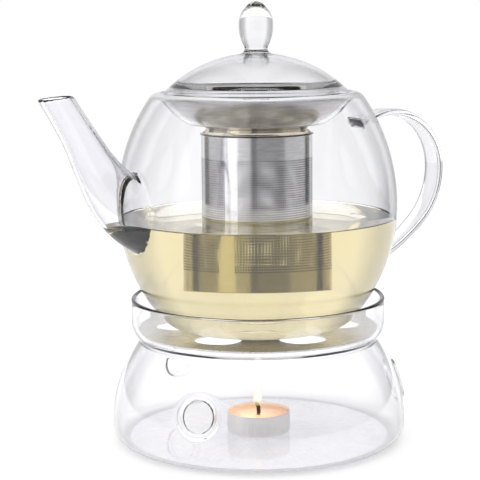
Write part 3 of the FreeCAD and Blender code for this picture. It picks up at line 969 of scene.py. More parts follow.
@dataclass
class Pot:
    """The blown pot with its folded neck, drawn spout and strap handle, all one piece of glass."""

    glass: Glass
    limb_glass: Glass
    belly_height: float = 71.0
    upper_arc: float = 112.0
    lower_arc: float = 98.7
    wall: float = 2.2
    floor: float = 2.6
    foot_round: float = 21.0
    punt_radius: float = 34.0
    punt_slope: float = 3.0
    punt_depth: float = 1.2
    shoulder_round: float = 7.3
    lip_round: float = 2.6
    lip_lean: float = 60.0
    funnel_arc: float = 40.0
    funnel_width: float = 15.4
    funnel_depth: float = 16.4
    funnel_slope: float = 28.6
    # spout stations: reach, height above the foot, lean in degrees and radius
    stations: tuple[tuple[float, float, float, float], ...] = (
        (60.0, 62.5, 25.0, 22.0),
        (84.0, 75.5, 37.0, 18.2),
        (94.5, 86.2, 49.0, 14.9),
        (102.5, 98.4, 57.5, 12.2),
        (110.6, 113.2, 59.5, 10.1),
        (131.5, 147.5, 57.6, 8.5),
    )
    spout_wall: float = 1.8
    mouth: Point = (125.8, 137.6)
    mouth_lean: float = 5.0
    strap: tuple[float, float, float] = (15.0, 3.8, 1.6)  # width, thickness and edge
    handle_top: Point = (93.0, 121.8)
    handle_inner_arc: float = 46.0
    handle_top_arc: float = 35.6
    handle_side_arc: float = 45.0
    handle_side_turn: float = 45.0
    handle_tail_arc: float = 105.0
    strap_bury: float = 14.0
    strap_swell: float = 0.55  # how much thicker the strap is where it meets the pot
    strap_fade: float = 7.0
    spout_root: Point = (78.0, 74.0)
    handle_roots: Point = (113.0, 26.0)
    handle_root_inset: float = 4.0
    limb_stand_off: float = 1.5  # where the spout's and the handle's own glass starts
    foot: float = field(init=False)
    radius: float = field(init=False)
    height: float = field(init=False)

    def __post_init__(self) -> None:
        """Reads the pot's foot, width and height from the frame."""
        low, high = frame_box("pot_body")
        self.foot, self.radius = low.z, high.y
        self.height = frame_box("pot_neck")[1].z - low.z

    def build(self) -> None:
        """Makes the shell, fuses the spout and the handle to it, opens the spout and melts the joints."""
        pot = lathe("pot_glass", self.section())
        for limb in (self.spout(0.0, "spout_tube"), self.handle()):
            carve(limb, lathe("seat", self.filled(self.wall / 2)), Carve.CUT)
            carve(pot, limb, Carve.JOIN)
        carve(pot, self.spout(self.spout_wall, "spout_bore"), Carve.CUT)
        carve(pot, self.mouth_block(), Carve.CUT)
        root, mouth = (Zone((-at[0], 0.0, self.foot + at[1]), size)
                       for at, size in ((self.spout_root, 34.0), (self.mouth, 14.0)))
        across = self.radius - self.handle_root_inset
        ends = [Zone((across, 0.0, self.foot + level), 18.0) for level in self.handle_roots]
        melt(pot, [root], reach=5.0, passes=14, step=1.3)
        melt(pot, [mouth], reach=1.4, passes=6, step=0.7)
        melt(pot, ends, reach=3.5, passes=12)
        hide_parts("pot_body", "pot_neck", "pot_spout", "pot_handle")
        dress(pot, self.glass.material(), "pot")
        # the spout and the handle take limb_glass, with its stronger painted edge shade
        outside = self.radius + self.limb_stand_off
        refinish(pot, self.limb_glass.material(), lambda at: math.hypot(at.x, at.y) > outside)

    def wall_line(self, inset: float, level: float) -> tuple[Point, Point, Point, Point]:
        """Finds the corners of the pot's side at a depth in its wall.

        Args:
            inset: The depth below the outer face.
            level: The height of the flat of the foot there.

        Returns:
            The ends of the foot's round, then those of the shoulder's.
        """
        lower, upper = self.lower_arc - inset, self.upper_arc - inset
        centre = (self.radius - self.lower_arc, self.belly_height)
        foot, belly = corner_round(centre, lower, self.foot_round - inset, level, 1)
        centre = (self.radius - self.upper_arc, self.belly_height)
        lip, shoulder = corner_round(centre, upper, self.shoulder_round - inset, self.height - inset, -1)
        return foot, belly, shoulder, lip

    def filled(self, inset: float) -> Outline:
        """Draws the whole pot as a solid block.

        Args:
            inset: How far it is taken in.

        Returns:
            The block's outline.
        """
        foot, belly, shoulder, lip = self.wall_line(inset, inset)
        return (
            Outline(0.0, inset, self.foot)
            .line(*foot)
            .arc(*belly, self.foot_round - inset, Turn.LEFT)
            .arc(self.radius - inset, self.belly_height, self.lower_arc - inset, Turn.LEFT)
            .arc(*shoulder, self.upper_arc - inset, Turn.LEFT)
            .arc(*lip, self.shoulder_round - inset, Turn.LEFT)
            .line(0.0, self.height - inset)
        )

    def funnel(self) -> tuple[Point, Point, Point]:
        """Finds the funnel's upper and lower end, and the lower end of its underside."""
        top = self.wall_line(0.0, 0.0)[3][0]
        lean, slope = math.radians(self.lip_lean), math.radians(self.funnel_slope)
        upper = (
            top - self.lip_round * math.sin(lean),
            self.height - self.lip_round * (1 - math.cos(lean)),
        )
        lower = (upper[0] - self.funnel_width, self.height - self.funnel_depth)
        under = (lower[0] + self.wall * math.sin(slope), lower[1] - self.wall * math.cos(slope))
        return upper, lower, under

    def section(self) -> Outline:
        """Draws the blown wall: under the foot, up the outside, over the lip and back down the inside."""
        wall = self.wall
        foot, belly, shoulder, lip = self.wall_line(0.0, 0.0)
        floor, inner_belly, inner_shoulder, _ = self.wall_line(wall, self.floor)
        upper, lower, under = self.funnel()
        return (
            Outline(0.0, self.punt_depth, self.foot)
            .line(self.punt_radius, self.punt_depth, ease=1.0)
            .line(self.punt_radius + self.punt_slope, 0.0, ease=1.2)
            .line(*foot)
            .arc(*belly, self.foot_round, Turn.LEFT)
            .arc(self.radius, self.belly_height, self.lower_arc, Turn.LEFT)
            .arc(*shoulder, self.upper_arc, Turn.LEFT)
            .arc(*lip, self.shoulder_round, Turn.LEFT)
            .arc(*upper, self.lip_round, Turn.LEFT)
            .arc(*lower, self.funnel_arc, Turn.RIGHT)
            .arc(*under, wall * 0.6, Turn.LEFT)
            .arc(lip[0], self.height - wall, self.funnel_arc + wall, Turn.LEFT)
            .arc(*inner_shoulder, self.shoulder_round - wall, Turn.RIGHT)
            .arc(self.radius - wall, self.belly_height, self.upper_arc - wall, Turn.RIGHT)
            .arc(*inner_belly, self.lower_arc - wall, Turn.RIGHT)
            .arc(*floor, self.foot_round - wall, Turn.RIGHT)
            .line(0.0, self.floor)
        )

    def spout(self, inset: float, name: str, sides: int = 72, count: int = 56) -> bpy.types.Object:
        """Makes a solid tube through the spout's stations.

        Args:
            inset: How far the tube is taken in.
            name: Its name.
            sides: Facets round it.
            count: Rings along it.

        Returns:
            The tube.
        """
        knots = np.array(self.stations)
        steps = np.linalg.norm(np.diff(knots[:, :2], axis=0), axis=1)
        along = np.concatenate([[0.0], np.cumsum(steps)])
        rows = smooth_through(along, knots, np.linspace(0.0, along[-1], count))
        angles = np.linspace(0, 2 * math.pi, sides, endpoint=False)
        rings = []
        for reach, height, lean, radius in rows:
            tilt = math.radians(lean)
            flat = np.cos(angles) * (radius - inset)
            rings.append(
                np.stack(
                    [
                        -reach - flat * math.sin(tilt),
                        np.sin(angles) * (radius - inset),
                        self.foot + height - flat * math.cos(tilt),
                    ],
                    axis=1,
                )
            )
        return sweep(name, rings)

    def mouth_block(self, half: float = 30.0, tall: float = 40.0) -> bpy.types.Object:
        """Makes the block that cuts the spout's mouth level.

        Args:
            half: Half of the block's width.
            tall: Its height.

        Returns:
            The block.
        """
        reach, level = self.mouth
        lean = math.radians(self.mouth_lean)
        along = np.array([math.cos(lean), 0.0, math.sin(lean)])
        up = np.array([-math.sin(lean), 0.0, math.cos(lean)])
        aside = np.array([0.0, 1.0, 0.0])
        middle = np.array([-reach, 0.0, self.foot + level])
        square = [(-half, -half), (half, -half), (half, half), (-half, half)]
        rings = [
            np.array([middle + along * a + aside * b + up * height for a, b in square])
            for height in (0.0, tall)
        ]
        return sweep("mouth_block", rings)

    def handle(self) -> bpy.types.Object:
        """Makes the strap: one flat ribbon of glass, bent in a plane and thickened where it meets the pot."""
        top, side_arc = self.handle_top, self.handle_side_arc
        buried = self.radius - self.strap_bury
        inner_level = top[1] - self.handle_inner_arc
        inner_end = (buried, inner_level + math.sqrt(self.handle_inner_arc**2 - (top[0] - buried) ** 2))
        side = (top[0] + self.handle_top_arc, top[1] - self.handle_top_arc)
        turn = math.radians(self.handle_side_turn)
        centre = (side[0] - side_arc, side[1])
        tail = (centre[0] + side_arc * math.cos(turn), centre[1] - side_arc * math.sin(turn))
        share = self.handle_tail_arc / side_arc
        tail_centre = (tail[0] + (centre[0] - tail[0]) * share, tail[1] + (centre[1] - tail[1]) * share)
        drop = math.sqrt(self.handle_tail_arc**2 - (buried - tail_centre[0]) ** 2)
        tail_end = (buried, tail_centre[1] - drop)
        spine = (
            Outline(*inner_end, self.foot)
            .arc(*top, self.handle_inner_arc, Turn.RIGHT)
            .arc(*side, self.handle_top_arc, Turn.RIGHT)
            .arc(*tail, side_arc, Turn.RIGHT)
            .arc(*tail_end, self.handle_tail_arc, Turn.RIGHT)
            .finished()
        )
        rims = np.linalg.norm(spine - (0.0, self.foot + self.belly_height), axis=1) - self.radius
        ahead = np.gradient(spine, axis=0)
        ahead /= np.linalg.norm(ahead, axis=1)[:, None]
        rings = []
        for (across, up), (run, rise), away in zip(spine, ahead, rims):
            swell = 1 + self.strap_swell * math.exp(-((max(away, 0.0) / self.strap_fade) ** 2))
            ring = self.strap_ring(swell)
            rings.append(np.array([(across - rise * b, a, up + run * b) for a, b in ring]))
        return sweep("handle_strap", rings)

    def strap_ring(self, swell: float) -> list[Point]:
        """Draws the strap's section.

        Args:
            swell: How many times thicker than plain it is there.

        Returns:
            The section's points as (width, thickness).
        """
        width, thick, edge = self.strap
        half_width, half_thick = width / 2 * (0.8 + 0.2 * swell), thick / 2 * swell
        ring = []
        for quarter, (a, b) in enumerate(((1, 1), (-1, 1), (-1, -1), (1, -1))):
            for share in ROUNDING:
                angle = math.pi / 2 * (quarter + share)
                ring.append(
                    (
                        a * (half_width - edge) + edge * math.cos(angle),
                        b * (half_thick - edge) + edge * math.sin(angle),
                    )
                )
        return ring


@dataclass
class Tea:
    """The brew in the pot, as deep as the lower half of the infuser."""

    liquor: Liquor
    pot: Pot
    level: float = 132.0
    into_wall: float = 0.6
    meniscus: float = 0.7

    def build(self) -> None:
        """Fills the pot and its spout to one level."""
        tea = lathe("tea_brew", self.section())
        spout = self.pot.spout(self.pot.spout_wall - self.into_wall, "tea_in_spout")
        carve(spout, lathe("tea_seat", self.pot.filled(self.pot.wall)), Carve.CUT)
        square = [(-180, -60), (0, -60), (0, 60), (-180, 60)]  # the spout's side, with room to spare
        rings = [np.array([(a, b, height) for a, b in square]) for height in (0.0, self.level)]
        carve(spout, sweep("tea_level", rings), Carve.KEEP)
        carve(tea, spout, Carve.JOIN)
        dress(tea, self.liquor.material(), "pot")

    def section(self) -> Outline:
        """Draws the brew's section: against the wall, up to a meniscus and in to the middle."""
        pot, grown = self.pot, self.pot.wall - self.into_wall
        foot, belly, _, _ = pot.wall_line(grown, pot.floor - self.into_wall)
        height = self.level - pot.foot
        arc = pot.lower_arc - grown
        across = pot.radius - pot.lower_arc + math.sqrt(arc**2 - (height - pot.belly_height) ** 2)
        return (
            Outline(0.0, pot.floor - self.into_wall, pot.foot)
            .line(*foot)
            .arc(*belly, pot.foot_round - grown, Turn.LEFT)
            .arc(across, height, arc, Turn.LEFT)
            .arc(across - 2 * self.meniscus, height - self.meniscus, self.meniscus * 2.4, Turn.LEFT)
            .line(0.0, height - self.meniscus)
        )


@dataclass
class Infuser:
    """The steel collar, crimp, perforated basket and base that hold the leaves."""

    collar_steel: Metal
    neck_steel: Metal
    crimp_steel: Metal
    basket_steel: Metal
    basket_inside_shade: Metal
    pot: Pot
    steel: float = 0.6
    seat_gap: float = 0.25
    flange_inset: float = 1.4
    neck_radius: float = 29.3
    neck_height: float = 116.2
    neck_length: float = 3.6
    base_thickness: float = 0.5
    base_lip: float = 3.0
    sheet: float = 0.4
    columns: int = 156
    seam_turn: float = -147.7
    seam_columns: int = 6
    first_hole: float = 108.0
    last_hole: float = 166.5
    hole_share: float = 0.55
    neck_finish: float = 3.4  # how far up from the neck's top its bright finish reaches
    flange_taper: float = 0.02
    crimp_fold: Point = (1.5, 1.0)  # width and height
    panel_rise: float = 0.4
    panel_inset: Point = (8.0, 6.0)

    def build(self) -> None:
        """Makes the four steel pieces."""
        parts = (
            (lathe("infuser_collar_steel", self.collar(), ring=True), self.collar_steel, "infuser_collar"),
            (lathe("infuser_crimp", self.crimp(), ring=True), self.crimp_steel, "infuser_rim"),
            (self.basket(), self.basket_steel, "infuser_basket"),
            (lathe("infuser_foot", self.foot()), self.basket_steel, "infuser_base"),
        )
        for piece, finish, node in parts:
            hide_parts(node)
            dress(piece, finish.material(), "infuser")
            if node == "infuser_basket":
                # the inner faces of the sheet take a dark copy of the steel: painted shade inside the basket
                outside = frame_box(node)[1].x - self.sheet / 4
                refinish(piece, self.basket_inside_shade.material(), lambda at: math.hypot(at.x, at.y) < outside)
            if node == "infuser_collar":
                neck = self.pot.foot + self.neck_height + self.neck_finish
                refinish(piece, self.neck_steel.material(), lambda at: at.z < neck)

    def seat(self, across: float, inward: float) -> float:
        """Gives the height of a face that lies above the funnel's glass.

        Args:
            across: The distance from the axis.
            inward: The gap between the glass and the face.

        Returns:
            The height above the pot's foot.
        """
        upper, lower, _ = self.pot.funnel()
        middle, level = arc_centre(upper, lower, self.pot.funnel_arc, Turn.RIGHT)
        return level - math.sqrt((self.pot.funnel_arc - inward) ** 2 - (across - middle) ** 2)

    def collar(self) -> Outline:
        """Draws the pressed collar: a rolled outer edge, the cone on the glass, and the neck."""
        pot, steel, neck = self.pot, self.steel, self.neck_radius
        upper, lower, _ = pot.funnel()
        outer = upper[0] - self.flange_inset
        under, over = self.seat_gap, self.seat_gap + steel
        start = (neck - steel, self.neck_height - self.neck_length)
        return (
            Outline(start[0] + steel / 2, start[1], pot.foot)
            .line(neck, start[1], ease=0.2)
            .line(neck, self.neck_height, ease=1.6)
            .line(lower[0], self.seat(lower[0], under), ease=2.5)
            .arc(outer, self.seat(outer, under), pot.funnel_arc - under, Turn.LEFT, ease=0.25)
            .line(outer - self.flange_taper, self.seat(outer, over), ease=0.25)
            .arc(lower[0], self.seat(lower[0], over), pot.funnel_arc - over, Turn.RIGHT, ease=2.5)
            .line(neck - steel, self.neck_height + steel, ease=1.6)
            .line(*start, ease=0.2)
        )

    def crimp(self) -> Outline:
        """Draws the folded ring that holds the basket to the neck."""
        low, high = frame_box("infuser_rim")
        neck, outer = self.neck_radius, high.x
        fold, band = self.crimp_fold
        return (
            Outline(neck + fold, low.z)
            .line(outer, low.z, ease=0.4)
            .line(outer, low.z + band, ease=0.4)
            .line(neck, high.z, ease=0.5)
            .line(neck, low.z, ease=0.1)
        )

    def foot(self) -> Outline:
        """Draws the basket's base, pressed into its lower end."""
        low, high = frame_box("infuser_base")
        thick, inside = self.base_thickness, high.x - self.sheet
        floor, rise = low.z + thick, self.panel_rise
        panel, ramp = (inside - inset for inset in self.panel_inset)
        return (
            Outline(0.0, low.z + rise)
            .line(panel, low.z + rise, ease=0.6)
            .line(ramp, low.z, ease=0.6)
            .line(high.x, low.z, ease=0.35)
            .line(high.x, floor, ease=0.1)
            .line(inside, floor, ease=0.05)
            .line(inside, floor + self.base_lip, ease=0.15)
            .line(inside - thick, floor + self.base_lip, ease=0.15)
            .line(inside - thick, floor, ease=0.3)
            .line(ramp, floor, ease=0.6)
            .line(panel, floor + rise, ease=0.6)
            .line(0.0, floor + rise)
        )

    def basket(self) -> bpy.types.Object:
        """Makes the rolled sheet with its grid of etched holes, plain at both ends and along the seam."""
        low, high = frame_box("infuser_basket")
        radii = (high.x, high.x - self.sheet)
        pitch = 2 * math.pi / self.columns
        rows = round((self.last_hole - self.first_hole) / (pitch * high.x))
        gap = (self.last_hole - self.first_hole) / rows
        solid = (1 - self.hole_share) / 2
        turns = np.array(
            [pitch * (column + edge) for column in range(self.columns) for edge in (solid, 1 - solid)]
        )
        turns += math.radians(self.seam_turn)
        levels = [low.z]
        for row in range(rows):
            levels += [self.first_hole + gap * (row + solid), self.first_hole + gap * (row + 1 - solid)]
        levels.append(high.z)
        wide, tall = len(turns), len(levels)
        corners = np.array(
            [(r * math.cos(t), r * math.sin(t), z) for r in radii for z in levels for t in turns]
        )

        def corner(face: int, level: int, turn: int) -> int:
            """Gives a corner's index: the face is 0 outside and 1 inside."""
            return (face * tall + level) * wide + turn % wide

        def open_at(level: int, turn: int) -> bool:
            """Tells whether a patch of the grid is a hole."""
            column = turn % wide // 2
            seam = min(column, self.columns - 1 - column) < self.seam_columns // 2
            return level % 2 == 1 and 0 < level < tall - 1 and turn % 2 == 0 and not seam

        faces = []
        for level in range(tall - 1):
            for turn in range(wide):
                patch = ((level, turn), (level, turn + 1), (level + 1, turn + 1), (level + 1, turn))
                if not open_at(level, turn):
                    faces.append([corner(0, *place) for place in patch])
                    faces.append([corner(1, *place) for place in reversed(patch)])
                    continue
                for here, there in zip(patch, patch[1:] + patch[:1]):
                    faces.append([corner(0, *here), corner(0, *there), corner(1, *there), corner(1, *here)])
        for level in (0, tall - 1):
            for turn in range(wide):
                edge = ((0, turn), (0, turn + 1), (1, turn + 1), (1, turn))
                faces.append([corner(face, level, at) for face, at in edge])
        return piece_from("infuser_mesh", corners, faces)


@dataclass
class Lid:
    """The blown dome, with its locating skirt and solid knob."""

    glass: Glass
    knob_glass: Glass
    wall: float = 2.4
    edge: float = 0.8
    side: float = 2.1
    skirt_wall: float = 2.2
    flare: float = 9.2
    flare_round: float = 3.4
    neck_radius: float = 6.5
    neck_height: float = 2.9
    knob_middle: float = 16.0
    lower_arc: float = 26.6
    upper_arc: float = 14.0
    crown_radius: float = 5.6
    crown_height: float = 26.2

    def build(self) -> None:
        """Makes the lid in one turn."""
        lid = lathe("lid_glass", self.section())
        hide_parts("lid_dome", "lid_skirt", "lid_knob")
        dress(lid, self.glass.material(), "lid")
        # the knob takes knob_glass, with its darker painted edge shade
        foot = frame_box("lid_dome")[1].z + self.neck_height
        refinish(lid, self.knob_glass.material(), lambda at: at.z > foot)

    def section(self) -> Outline:
        """Draws the lid from the knob's crown down the outside, round the rim and skirt and up inside."""
        dome_low, dome_high = frame_box("lid_dome")
        skirt_low, skirt_high = frame_box("lid_skirt")
        knob_high = frame_box("lid_knob")[1]
        radius, rim, apex = dome_high.x, dome_low.z, dome_high.z
        rise = apex - rim - self.side
        arc = (radius**2 + rise**2) / (2 * rise)
        inner, centre = arc - self.wall, apex - arc

        def level(distance: float, across: float) -> float:
            """Gives the height of an arc about the dome's centre."""
            return centre + math.sqrt(distance**2 - across**2)

        crown_rise = knob_high.z - apex - self.crown_height
        crown_arc = (self.crown_radius**2 + crown_rise**2) / (2 * crown_rise)
        skirt, inside = skirt_high.x, radius - self.wall
        bore = skirt - self.skirt_wall
        return (
            Outline(0.0, knob_high.z)
            .arc(self.crown_radius, apex + self.crown_height, crown_arc, Turn.RIGHT, ease=1.5)
            .arc(knob_high.x, apex + self.knob_middle, self.upper_arc, Turn.RIGHT)
            .arc(self.neck_radius, apex + self.neck_height, self.lower_arc, Turn.RIGHT, ease=1.2)
            .arc(self.flare, level(arc, self.flare), self.flare_round, Turn.LEFT, ease=0.8)
            .arc(radius, level(arc, radius), arc, Turn.RIGHT, ease=1.2)
            .line(radius, rim + self.edge)
            .arc(radius - self.edge, rim, self.edge, Turn.RIGHT)
            .line(inside, rim, ease=0.7)
            .line(inside, level(inner, inside), ease=0.5)
            .arc(skirt, level(inner, skirt), inner, Turn.LEFT, ease=1.2)
            .line(skirt, skirt_low.z, ease=1.0)
            .line(bore, skirt_low.z, ease=1.0)
            .line(bore, level(inner, bore), ease=1.5)
            .arc(0.0, apex - self.wall, inner, Turn.LEFT)
        )


@dataclass
class Tealight:
    """The burning candle under the plate."""

    cup_metal: Metal
    clip_metal: Metal
    candle: Wax
    cord: Cord
    fire: Fire
    wall: float = 0.4
    flutes: int = 54
    flute_depth: float = 0.16
    wick_radius: float = 1.15
    wick_curl: float = 6.0
    flame_width: float = 3.1
    flame_foot: float = 17.0
    flame_tip: float = 33.0
    cup_sides: int = 216
    cup_foot: tuple[float, float, float] = (4.0, 3.0, 0.3)  # where its groove starts and ends, and its depth
    wax_gap: float = 0.15
    wax_clearance: float = 0.05
    wick_bend: float = math.radians(60)
    wick_sides: int = 18

    def build(self) -> None:
        """Makes the cup, the wax, the wick and the flame, and dresses the clip."""
        low, high = frame_box("tealight_cup")
        cup = lathe("tealight_tin", self.cup(low, high), wave=self.flute(low, high), sides=self.cup_sides)
        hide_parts("tealight_cup")
        dress(cup, self.cup_metal.material(), "tealight")
        wax = lathe("tealight_candle", self.wax(high))
        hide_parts("tealight_wax")
        dress(wax, self.candle.material(), "tealight")
        wick = self.wick()
        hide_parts("tealight_wick")
        dress(wick, self.cord.material(), "tealight")
        dress(self.flame(), self.fire.material(), "tealight")
        dress_node("tealight_wick_clip", self.clip_metal.material())

    def cup(self, low: Vector, high: Vector) -> Outline:
        """Draws the pressed cup with its rolled rim.

        Args:
            low: The lowest corner of the cup's box.
            high: The highest one.

        Returns:
            The cup's outline.
        """
        radius, wall = high.x - self.flute_depth, self.wall
        groove_in, groove_out, rise = self.cup_foot
        return (
            Outline(0.0, low.z + rise)
            .line(radius - groove_in, low.z + rise, ease=0.5)
            .line(radius - groove_out, low.z, ease=0.4)
            .line(radius, low.z, ease=1.2)
            .line(radius, high.z - 0.9, ease=0.2)
            .line(radius + self.flute_depth, high.z - 0.8, ease=0.2)
            .line(radius + self.flute_depth, high.z, ease=0.3)
            .line(radius - wall, high.z, ease=0.3)
            .line(radius - wall, low.z + wall, ease=0.8)
            .line(0.0, low.z + wall + rise)
        )

    def flute(self, low: Vector, high: Vector) -> Callable[[float, float], float]:
        """Gives the fine creases that pressing leaves in the cup's side.

        Args:
            low: The lowest corner of the cup's box.
            high: The highest one.

        Returns:
            The creases' depth at an angle and a height.
        """

        def wave(angle: float, up: float) -> float:
            """Fades the creases out at both ends of the side."""
            share = (up - low.z) / (high.z - low.z)
            fade = max(0.0, min(1.0, share * 5, (0.9 - share) * 8))
            return self.flute_depth * 0.8 * fade * math.cos(self.flutes * angle)

        return wave

    def wax(self, high: Vector) -> Outline:
        """Draws the candle: dipped towards the wick, and drawn up a little against the cup.

        Args:
            high: The highest corner of the cup's box.

        Returns:
            The candle's outline.
        """
        top = frame_box("tealight_wax")[1].z
        bottom = frame_box("tealight_wick_clip")[0].z + self.wax_clearance
        radius = high.x - self.flute_depth - self.wall - self.wax_gap
        return (
            Outline(0.0, bottom)
            .line(radius, bottom, ease=0.5)
            .line(radius, top, ease=0.2)
            .arc(radius - 2.2, top - 0.9, 3.0, Turn.LEFT)
            .line(5.0, top - 1.3)
            .line(1.2, top - 1.5, ease=0.5)
            .line(0.0, top - 1.5)
        )

    def wick(self) -> bpy.types.Object:
        """Makes the braided cord, curled over at its end."""
        low, high = frame_box("tealight_wick")
        curl = self.wick_curl
        straight = high.z - curl * math.cos(self.wick_bend) - 2.4
        spine = [(0.0, height) for height in np.linspace(low.z + 3.9, straight, 14)]
        spine += [
            (-curl * (1 - math.cos(angle)), straight + curl * math.sin(angle))
            for angle in np.linspace(0.08, self.wick_bend, 10)
            if straight + curl * math.sin(angle) < high.z - 0.3
        ]
        rings = []
        count = len(spine)
        for index, (across, up) in enumerate(spine):
            before, after = spine[max(index - 1, 0)], spine[min(index + 1, count - 1)]
            lean = math.atan2(after[1] - before[1], after[0] - before[0])
            taper = 1.0 if index < count - 2 else 0.75 - 0.3 * (index == count - 1)
            ring = []
            for part in range(self.wick_sides):
                angle = 2 * math.pi * part / self.wick_sides
                radius = self.wick_radius * taper * (1.0 + 0.1 * math.cos(3 * angle + 1.3 * index))
                flat = radius * math.cos(angle)
                ring.append(
                    (across + flat * math.sin(lean), radius * math.sin(angle), up - flat * math.cos(lean))
                )
            rings.append(np.array(ring))
        return sweep("tealight_cord", rings)

    def flame(self) -> bpy.types.Object:
        """Makes the flame: a drop that is widest low down and leans a little."""
        steps, sides = 40, 32
        rings = []
        for step in range(1, steps):
            share = step / steps
            radius = self.flame_width * 2.3 * math.sqrt(share) * (1 - share) ** 1.15
            height = self.flame_foot + (self.flame_tip - self.flame_foot) * share
            lean = -1.2 + 1.0 * math.sin(2.2 * share)
            angles = np.linspace(0, 2 * math.pi, sides, endpoint=False)
            rings.append(
                np.stack(
                    [lean + radius * np.cos(angles), radius * np.sin(angles), np.full(sides, height)], axis=1
                )
            )
        return sweep("tealight_flame", rings)


# ---- the studio


